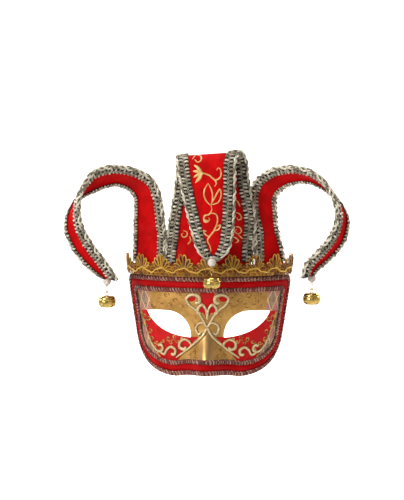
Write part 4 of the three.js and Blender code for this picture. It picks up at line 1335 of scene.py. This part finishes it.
# Printed vine of the centre horn's front and back: lines of places across and height, seen from the front
FRONT_VINE = [
    [(-14.5, 172), (-11, 176), (-6, 174.5), (-5.5, 170.5), (-9, 169), (-12, 171.5)],
    [(4, 155), (8, 152), (10.4, 148), (8.6, 144.6)],
    [(-12.5, 154), (-8, 158), (-3, 158), (3, 156), (9.5, 151.2), (14.5, 154), (15, 160.5), (12.5, 163),
     (10.6, 160.8)],
    [(2.1, 148), (-1.6, 141.5), (-1.8, 134.5), (2, 128), (5.1, 125.8)],
    [(2.1, 148), (5.8, 140.5), (6.6, 132.6), (5.1, 125.8)],
    [(5.1, 125.8), (8.6, 133), (14.2, 141.8), (15.4, 136), (12.6, 129), (5.1, 125.8)],
    [(5.1, 125.8), (5.8, 121), (3, 116.4), (-1.4, 115), (-2.2, 111), (0.6, 108.8), (3.4, 110.4), (2.8, 113)],
    [(2, 115.6), (6, 117.6), (10.6, 116), (11.6, 109.4), (8, 99.6), (3.4, 93.6), (1.4, 89.6), (3.8, 84),
     (5, 78)],
    [(8, 99.6), (12.5, 101), (14.6, 105.5), (11, 104)],
    [(3.4, 93.6), (-0.6, 95.6), (-3, 99.6), (0.4, 99)],
]
VINE_LEAVES = [
    [(-12.5, 166.5), (-9, 164), (-4, 158.5)],
    [(-13.5, 160.5), (-9, 160), (-3, 158)],
    [(-12.6, 154.5), (-8.6, 156.4), (-3, 157.6)],
    [(-11, 148.4), (-8, 152), (-4, 157)],
    [(-2.6, 111.4), (-0.6, 109.2), (2.4, 110)],
]
BACK_VINE = [
    [(-24.9, 99), (-21.3, 97.6), (-21.4, 93.4), (-24.9, 92.1), (-27, 95), (-25, 96.6)],
    [(28.8, 101), (33.4, 100), (34.7, 95.3), (31, 93), (27.8, 96.8), (30.4, 98.2)],
    [(31, 93), (34.4, 88.8), (38.6, 84)],
    [(26, 90), (29.6, 88), (31.4, 84.6), (28, 83)],
    [(28.4, 130), (31.4, 127), (33.6, 122.4)],
    [(29.4, 116), (33.4, 114), (35, 109.4), (31.6, 108), (30.2, 111)],
    [(-20.4, 84), (-17.6, 88), (-18.4, 93)],
]


def vine_shape(strip, sizes):
    """Flat printed lines on the centre horn: each place is laid on the strip at its height, between its edges."""
    share = strip.fine
    edges = [catmull(edge, share) for edge in (strip.first, strip.second)]
    level = (edges[0] + edges[1])[:, 2] / 2
    top = np.argmax(level)
    parts = []
    front = slice(top, None)
    groups = [(FRONT_VINE, front, 1, 1.0), (VINE_LEAVES, front, 1, 2.6), (BACK_VINE, slice(0, top), -1, 0.8)]
    for lines, half, face, wider in groups:
        order = np.argsort(level[half])
        for line in lines:
            points = even_points(np.array(line), 0.8)
            at = np.interp(points[:, 1], level[half][order], share[half][order])
            first, second = (np.interp(at, share, edge[:, 0]) for edge in edges)
            across = (2 * (points[:, 0] - first) / (second - first) - 1) * strip.width(at) / 2
            lift = face * (PANEL_THICKNESS / 2 + 0.06)
            middle = strip.place(across, at, lift)
            normal = unit(strip.place(across, at, lift + face) - middle)
            reach = np.linspace(0, 1, len(at))
            half_width = sizes.vine_width / MM / 2 * (0.45 + 0.9 * wider * np.sin(np.pi * reach) ** 0.7)
            parts.append(tubes(middle, normal, half_width, 6, flat=0.35 / wider, tone=0.5))
    return joined(parts)


def build_horns(sizes, colours):
    """Three cloth horns with a braid folded over each long edge."""
    random = np.random.default_rng(23)
    cloth = satin("horn_satin", colours.red, colours.red_dark)
    braid = thread("braid_thread", colours.braid_shade, colours.braid, colours.braid_light, 0.55)
    horns = [
        ("left", HornStrip(LEFT_HORN_ROWS, SIDE_SIZE), (NARROW_BRAID, 1), (WIDE_BRAID, 2)),
        ("right", HornStrip(RIGHT_HORN_ROWS, SIDE_SIZE), (NARROW_BRAID, 1), (WIDE_BRAID, 2)),
        ("centre", HornStrip(CENTRE_HORN_ROWS, CENTRE_SIZE), (CENTRE_BRAID, 2), (CENTRE_BRAID, 2)),
    ]
    vine_mesh = make_mesh("printed_vine", vine_shape(horns[2][1], sizes))
    vine_gold = gold_line("vine_gold", colours.gold, colours.gold_light, 0.35)
    vine = make_piece("printed_vine", vine_mesh, [vine_gold])
    for name, strip, outer, inner in horns:
        with_it = [vine] if name == "centre" else []
        for label, side, (width, lanes) in (("outer", -1, outer), ("inner", 1, inner)):
            mesh = make_mesh(f"{name}_{label}_braid", braid_shape(strip, side, width, lanes, sizes, random))
            replaced = [f"{name}_horn_{label}_braid"]
            with_it.append(make_piece(f"{name}_{label}_braid", mesh, [braid], replaced))
        cloth_mesh = make_mesh(f"{name}_horn_cloth", panel_shape(strip))
        piece = make_piece(f"{name}_horn_cloth", cloth_mesh, [cloth], [f"{name}_horn"])
        wide = (strip.width(strip.fine) - 2 * (BRAID_WALL + BRAID_GAP)) * MM


# Drops

def lathe(profile, sides):
    """A closed profile of radius and height turned about the upright line."""
    profile = np.asarray(profile, float)
    angle = round_angles(sides)
    x = profile[:, 0:1] * np.cos(angle)
    y = profile[:, 0:1] * np.sin(angle)
    verts = np.stack([x, y, np.broadcast_to(profile[:, 1:2], x.shape)], axis=-1)
    quads, corners = grid_faces(len(profile), sides, closed_rows=True, closed_columns=True)
    return shape(verts, [quads[:, ::-1]], [corners[:, ::-1] / sides])


def rounded_profile(points, radius, count=6):
    """Profile with each corner cut by a quadratic curve that starts a radius before it."""
    points = np.asarray(points, float)
    rows = [points[:1]]
    t = np.linspace(0, 1, count)[:, None]
    for before, corner, after in zip(points[:-2], points[1:-1], points[2:]):
        start = corner + unit(before - corner) * min(radius, np.linalg.norm(before - corner) / 2)
        end = corner + unit(after - corner) * min(radius, np.linalg.norm(after - corner) / 2)
        rows.append((1 - t) ** 2 * start + 2 * t * (1 - t) * corner + t ** 2 * end)
    rows.append(points[-1:])
    return np.vstack(rows)


EYE_TOP = -PEARL_RADIUS - 0.2
EYE_WIRE = EYE_TOP - EYE_LOOP_LENGTH - 2 * EYE_LOOP_RADIUS
SHANK_MIDDLE = EYE_WIRE + WIRE_RADIUS + SEAT_GAP - (SHANK_RADIUS - WIRE_RADIUS)
BELL_TOP = SHANK_MIDDLE - SHANK_RADIUS - WIRE_RADIUS + SHANK_SINK


def bell_shape():
    """Flattened bell: a fat lower drum, a rolled seam and a flatter cap, turned from one profile."""
    top, low = BELL_TOP, BELL_TOP - BELL_HEIGHT
    r, pin = BELL_RADIUS, 0.05
    outer = [(pin, low), (0.62 * r, low + 0.3), (0.93 * r, low + 2.4), (r, low + 5.2), (0.98 * r, low + 7.2),
             (0.93 * r, low + 7.9), (1.09 * r, low + 8.0), (1.09 * r, low + 9.0), (0.92 * r, low + 9.2),
             (0.9 * r, low + 10.9), (0.72 * r, low + 12.6), (0.4 * r, top - 0.05), (pin, top)]
    inner = [(pin, top - BELL_WALL), (0.7 * r, top - BELL_WALL - 0.5), (0.9 * r, low + 8.5), (0.92 * r, low + 5),
             (0.6 * r, low + BELL_WALL + 0.4), (pin, low + BELL_WALL)]
    return lathe(np.vstack([rounded_profile(outer, 0.9, 5), rounded_profile(inner, 1.2, 5)]), 64)


def slot_cutter():
    """A cross of two slots with a round hole at each end, through the bell's floor."""
    low = BELL_TOP - BELL_HEIGHT - 2
    parts = []
    for turn in (0, math.pi / 2):
        angle = np.linspace(0, 2 * np.pi, 40, endpoint=False)
        x = np.where(np.cos(angle) > 0, 1, -1) * SLOT_REACH + SLOT_END_RADIUS * np.cos(angle)
        y = SLOT_END_RADIUS * np.sin(angle)
        y = np.where(np.abs(np.sin(angle)) < 0.99, y, SLOT_HALF_WIDTH * np.sign(np.sin(angle)))
        y = np.where(np.abs(x) < SLOT_REACH - 1, np.sign(y) * SLOT_HALF_WIDTH, y)
        c, s = math.cos(turn), math.sin(turn)
        flat = np.stack([x * c - y * s, x * s + y * c], axis=1)
        bottom = np.column_stack([flat, np.full(40, low)])
        top = np.column_stack([flat, np.full(40, low + 7)])
        quads, corners = grid_faces(2, 40, closed_columns=True)
        caps = np.stack([np.arange(40)[::-1], np.arange(40) + 40])
        uvs = [corners * 0.0, np.zeros((2, 40, 2))]
        parts.append(shape(np.vstack([bottom, top]), [quads[:, ::-1], caps], uvs))
    return parts


def cut_mesh(mesh, cutters):
    """A mesh with other closed meshes taken out of it, its hard edges marked."""
    body = place_object("uncut", mesh)
    tools = []
    for part in cutters:
        tool = place_object("cutter", make_mesh("cutter", part))
        taken = body.modifiers.new("cut", "BOOLEAN")
        taken.operation = "DIFFERENCE"
        taken.solver = "EXACT"
        taken.object = tool
        tools.append(tool)
    bpy.context.view_layer.update()
    done = bpy.data.meshes.new_from_object(body.evaluated_get(bpy.context.evaluated_depsgraph_get()))
    for thing in (body, *tools):
        bpy.data.objects.remove(thing)
    done.set_sharp_from_angle(angle=math.radians(40))
    return done


def pearl_shape():
    """A drilled pearl: a half circle profile closed along its bore."""
    bore = WIRE_RADIUS + SEAT_GAP
    limit = math.acos(bore / PEARL_RADIUS)
    angle = np.linspace(-limit, limit, 30)
    return lathe(np.stack([PEARL_RADIUS * np.cos(angle), PEARL_RADIUS * np.sin(angle)], axis=1), 40)


def pin_shape():
    """Wire pin: a small ball head above the pearl, a stem, and a long eye below."""
    s = np.linspace(0, 2 * np.pi, 48, endpoint=False)
    rise = (1 + np.cos(s)) / 2
    x = EYE_LOOP_RADIUS * np.sin(s) * (1 - 0.35 * rise)
    middle = EYE_WIRE + EYE_LOOP_RADIUS + EYE_LOOP_LENGTH / 2
    z = middle + (EYE_LOOP_RADIUS + EYE_LOOP_LENGTH / 2) * np.cos(s)
    eye = tubes(np.stack([x, 0 * x, z], axis=1), np.array([0.0, 1.0, 0.0]), WIRE_RADIUS, 8, closed=True)
    rod = np.linspace(EYE_TOP - 0.4, PEARL_RADIUS, 6)
    stem = tubes(np.stack([0 * rod, 0 * rod, rod], axis=1), np.array([0.0, 1.0, 0.0]), WIRE_RADIUS, 10)
    angle = np.linspace(-1.5, 1.5, 10)
    head = lathe(np.stack([1.0 * np.cos(angle), PEARL_RADIUS + 0.15 + 0.6 * np.sin(angle)], axis=1), 20)
    return joined([eye, stem, head])


def shank_shape():
    """Wire arch standing on the bell, across the pin's eye."""
    s = np.linspace(0, 2 * np.pi, 36, endpoint=False)
    path = np.stack([0 * s, SHANK_RADIUS * np.cos(s), SHANK_MIDDLE + SHANK_RADIUS * np.sin(s)], axis=1)
    return tubes(path, np.array([1.0, 0.0, 0.0]), WIRE_RADIUS, 8, closed=True)


def moved(part, turn, middle):
    """A part turned about the upright line and moved."""
    c, s = math.cos(turn), math.sin(turn)
    turned = part["verts"] @ np.array([[c, s, 0], [-s, c, 0], [0, 0, 1]])
    return {**part, "verts": turned + middle}


def build_drops(colours):
    """Pearl, pin and bell at each horn's tip; the side bells ride on their own bodies."""
    brass, pearl = polished_brass(colours), pearl_lustre(colours)
    drops = [("left", math.pi / 4, "left_bell"), ("right", -math.pi / 4, "right_bell"), ("centre", 0, "mask")]
    for name, turn, body in drops:
        low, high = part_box(f"{name}_pearl")
        middle = (np.array(low) + np.array(high)) / 2 / MM
        mesh = make_mesh(f"{name}_bead", moved(pearl_shape(), turn, middle))
        make_piece(f"{name}_bead", mesh, [pearl], [f"{name}_pearl"])
        mesh = make_mesh(f"{name}_wire", moved(pin_shape(), turn, middle))
        make_piece(f"{name}_wire", mesh, [brass], [f"{name}_pin"])
        whole = make_mesh(f"{name}_jingle", moved(bell_shape(), turn, middle))
        cut = cut_mesh(whole, [moved(part, turn, middle) for part in slot_cutter()])
        cut.name = f"{name}_jingle"
        make_piece(f"{name}_jingle", cut, [brass], [f"{name}_bell"], body)
        mesh = make_mesh(f"{name}_shank", moved(shank_shape(), turn, middle))
        make_piece(f"{name}_shank", mesh, [brass], body=body)


# Stage

def build_stage():
    """Round pale floor that sweeps up into a wall on every side, soft lights and the camera."""
    floor, wall, radius = -0.26, 4.2, 1.6
    turn = np.linspace(0, math.pi / 2, 16)
    curve = np.stack([wall - radius + radius * np.sin(turn), floor + radius - radius * np.cos(turn)], axis=1)
    under = [(wall + 0.05, 3.4), (wall + 0.05, floor - 0.05), (0.01, floor - 0.05)]
    mesh = make_mesh("sweep", lathe(np.vstack([[(0.01, floor)], curve, [(wall, 3.4)], under]) / MM, 96))
    mesh.materials.append(studio_paper())
    place_object("sweep", mesh)

    target = Vector((-0.0055, 0, 0.0776))
    behind = Vector((0, 3.3, -0.1))
    lights = [
        ("key", (-1.15, -1.3, 0.9), 0.85, 27, target),
        ("fill", (1.4, -1.2, 0.3), 1.0, 1.2, target),
        ("top", (-0.1, -0.25, 1.3), 0.8, 7.5, target),
        ("backdrop_left", (-1.4, 1.2, 1.5), 1.2, 100, behind),
        ("backdrop_right", (1.4, 1.2, 1.5), 1.2, 100, behind),
    ]
    for name, place, size, power, aim in lights:
        lamp = bpy.data.lights.new(name, "AREA")
        lamp.size = size
        lamp.energy = power
        holder = place_object(name, lamp)
        holder.location = place
        holder.rotation_euler = (aim - Vector(place)).to_track_quat("-Z", "Y").to_euler()

    bpy.context.scene.view_settings.view_transform = "Standard"
    world = bpy.data.worlds.new("studio")
    world.use_nodes = True
    sky = world.node_tree.nodes["Background"].inputs
    sky["Color"].default_value = (0.95, 0.96, 1.0, 1)
    sky["Strength"].default_value = 0.15
    bpy.context.scene.world = world

    azimuth, elevation, distance = math.radians(3.35), math.radians(5), 2.5
    level = math.cos(elevation)
    away = Vector((math.sin(azimuth) * level, -math.cos(azimuth) * level, math.sin(elevation)))
    camera = place_object("camera", bpy.data.cameras.new("camera"))
    camera.data.sensor_fit = "VERTICAL"
    camera.data.sensor_height = 36
    camera.data.lens = camera.data.sensor_height * distance / MM / (PHOTO_HEIGHT * PIXEL_SIZE)
    camera.location = target + away * distance
    camera.rotation_euler = (-away).to_track_quat("-Z", "Y").to_euler()
    bpy.context.scene.camera = camera


# Add-on

def colour_property(name, description, default):
    """A colour value of the finishes."""
    return bpy.props.FloatVectorProperty(
        name=name, description=description, size=4, subtype="COLOR", min=0, max=1, default=default)


def length_property(name, description, default):
    """A length value of the pieces, in metres."""
    return bpy.props.FloatProperty(
        name=name, description=description, default=default, min=0.0001, unit="LENGTH", precision=5)


class MaskSizes(bpy.types.PropertyGroup):
    """Sizes of the fine work."""
    shell_grain: length_property("Shell grain", "Spacing of the shell's points", 0.0013)
    scroll_height: length_property("Scroll height", "Half the height of the raised scrolls' section", 0.0014)
    swirl_width: length_property("Swirl width", "Width of the thin drawn swirls", 0.0011)
    gimp_pitch: length_property("Gimp pitch", "Length of one loop of the gimp", 0.0034)
    lace_thread: length_property("Lace thread", "Radius of the lace's thread", 0.00052)
    vine_width: length_property("Vine width", "Width of the printed vine's lines", 0.0012)
    wave_cord: length_property("Wave cord", "Radius of the lace's wavy cord", 0.0007)
    bar_pitch: length_property("Braid bar pitch", "Spacing of the braid's bars", 0.0038)
    rope_pitch: length_property("Braid rope pitch", "Spacing of the rope's strands along the fold", 0.0062)


class MaskColours(bpy.types.PropertyGroup):
    """Colours of the finishes."""
    gold: colour_property("Gold", "Antique gold paint", linear(196, 152, 84))
    gold_dark: colour_property("Dark gold", "Gold paint in its hollows", linear(140, 98, 44))
    gold_light: colour_property("Light gold", "Gold paint on its high points", linear(228, 194, 128))
    nose: colour_property("Nose", "Bright gold of the nose", linear(178, 138, 86))
    red: colour_property("Red", "Red cloth and paint", linear(200, 2, 4))
    red_dark: colour_property("Dark red", "Red in its shade", linear(128, 0, 2))
    ribbon: colour_property("Ribbon", "Satin ribbon of the edge", linear(178, 6, 10))
    patch: colour_property("Side patch", "Pale glitter at the sides", linear(182, 154, 130))
    patch_dark: colour_property("Dark side patch", "Shaded glitter at the sides", linear(108, 80, 62))
    patch_pink: colour_property("Pink side patch", "Pink glitter diamonds", linear(186, 84, 104))
    swirl: colour_property("Swirl", "Thin gold lines on their high points", linear(214, 160, 84))
    swirl_dark: colour_property("Dark swirl", "Thin gold lines in their shade", linear(112, 70, 26))
    scroll: colour_property("Scroll", "Champagne glitter", linear(224, 194, 134))
    scroll_dark: colour_property("Dark scroll", "Champagne glitter in its shade", linear(168, 130, 76))
    # painted glints of the glitter grains
    scroll_glint: colour_property("Scroll spark", "Brightest grains of the glitter", linear(255, 246, 214))
    # painted shade down the scrolls' flanks
    scroll_flank_shade: colour_property("Scroll flank", "Sides of the raised scrolls", linear(126, 88, 42))
    gimp: colour_property("Gimp", "Wine cord of the gimp", linear(134, 52, 44))
    gimp_dark: colour_property("Dark gimp", "Gimp in its shade", linear(44, 10, 10))
    gimp_light: colour_property("Gimp metal", "Metal thread of the gimp", linear(204, 154, 130))
    lace: colour_property("Lace", "Gold lace thread", linear(190, 120, 18))
    lace_dark: colour_property("Dark lace", "Lace thread in its shade", linear(66, 30, 2))
    lace_light: colour_property("Lace cord", "Pale bright cord of the lace", linear(236, 190, 84))
    braid: colour_property("Braid", "Warm silver thread of the braids", linear(150, 138, 112))
    # painted shade: dark ground between the braids' bars and in the grooves of their plies
    braid_shade: colour_property("Dark braid", "Dark gaps of the braids", linear(20, 16, 12))
    braid_light: colour_property("Braid selvedge", "Pale cord of the braids", linear(232, 222, 200))
    pearl: colour_property("Pearl", "Pearl", linear(214, 202, 192))
    pearl_cloud: colour_property("Pearl cloud", "Pinkish cloud in the pearls", linear(178, 156, 146))
    brass: colour_property("Brass", "Polished brass", linear(210, 180, 104))
    brass_mark: colour_property("Brass marks", "Handling marks on the brass", linear(160, 126, 58))
    lining: colour_property("Lining", "Paper on the back of the shell", linear(172, 158, 136))
    # painted shade in the hollows of the lining's lumps
    lining_shade: colour_property("Dark lining", "Lining paper in its hollows", linear(152, 138, 116))
    lining_fibre: colour_property("Lining fibre", "Fibres of the lining paper", linear(160, 148, 128))


class JESTER_OT_stage(bpy.types.Operator):
    """Floor, lights and camera"""
    bl_idname = "jester.stage"
    bl_label = "Stage"

    def execute(self, context):
        build_stage()
        return {"FINISHED"}


class JESTER_OT_shell(bpy.types.Operator):
    """Painted shell and its lining"""
    bl_idname = "jester.shell"
    bl_label = "Shell"

    def execute(self, context):
        build_shell(context.scene.mask_sizes, context.scene.mask_colours)
        return {"FINISHED"}


class JESTER_OT_scrolls(bpy.types.Operator):
    """Raised glitter scrolls"""
    bl_idname = "jester.scrolls"
    bl_label = "Scrolls"

    def execute(self, context):
        build_scrolls(context.scene.mask_sizes, context.scene.mask_colours)
        return {"FINISHED"}


class JESTER_OT_swirls(bpy.types.Operator):
    """Thin drawn swirls"""
    bl_idname = "jester.swirls"
    bl_label = "Swirls"

    def execute(self, context):
        build_swirls(context.scene.mask_sizes, context.scene.mask_colours)
        return {"FINISHED"}


class JESTER_OT_trim(bpy.types.Operator):
    """Gimp and ribbon round the face"""
    bl_idname = "jester.trim"
    bl_label = "Edge trim"

    def execute(self, context):
        build_trim(context.scene.mask_sizes, context.scene.mask_colours)
        return {"FINISHED"}


class JESTER_OT_lace(bpy.types.Operator):
    """Gold thread lace"""
    bl_idname = "jester.lace"
    bl_label = "Lace"

    def execute(self, context):
        build_lace(context.scene.mask_sizes, context.scene.mask_colours)
        return {"FINISHED"}


class JESTER_OT_horns(bpy.types.Operator):
    """Cloth horns and their braids"""
    bl_idname = "jester.horns"
    bl_label = "Horns"

    def execute(self, context):
        build_horns(context.scene.mask_sizes, context.scene.mask_colours)
        return {"FINISHED"}


class JESTER_OT_drops(bpy.types.Operator):
    """Pearls, wires and bells"""
    bl_idname = "jester.drops"
    bl_label = "Drops"

    def execute(self, context):
        build_drops(context.scene.mask_colours)
        return {"FINISHED"}


OPERATORS = [
    JESTER_OT_stage,
    JESTER_OT_shell,
    JESTER_OT_scrolls,
    JESTER_OT_swirls,
    JESTER_OT_trim,
    JESTER_OT_lace,
    JESTER_OT_horns,
    JESTER_OT_drops,
]


class MASK_PT_pieces(bpy.types.Panel):
    """Sizes, colours and the pieces' buttons."""
    bl_label = "Jester mask"
    bl_idname = "MASK_PT_pieces"
    bl_space_type = "VIEW_3D"
    bl_region_type = "UI"
    bl_category = "Jester mask"

    def draw(self, context):
        for kind in OPERATORS:
            self.layout.operator(kind.bl_idname)
        for values in (context.scene.mask_sizes, context.scene.mask_colours):
            for key in values.__annotations__:
                self.layout.prop(values, key)


CLASSES = [MaskSizes, MaskColours, *OPERATORS, MASK_PT_pieces]


def register():
    for kind in CLASSES:
        bpy.utils.register_class(kind)
    bpy.types.Scene.mask_sizes = bpy.props.PointerProperty(type=MaskSizes)
    bpy.types.Scene.mask_colours = bpy.props.PointerProperty(type=MaskColours)


def unregister():
    del bpy.types.Scene.mask_sizes
    del bpy.types.Scene.mask_colours
    for kind in reversed(CLASSES):
        bpy.utils.unregister_class(kind)


def main():
    """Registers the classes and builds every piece."""
    register()
    for make_group in (thread_ply_group, cloth_weave_group, glitter_group):
        make_group()
    bpy.ops.jester.stage()
    bpy.ops.jester.shell()
    bpy.ops.jester.scrolls()
    bpy.ops.jester.swirls()
    bpy.ops.jester.trim()
    bpy.ops.jester.lace()
    bpy.ops.jester.horns()
    bpy.ops.jester.drops()


if __name__ == "__main__":
    main()
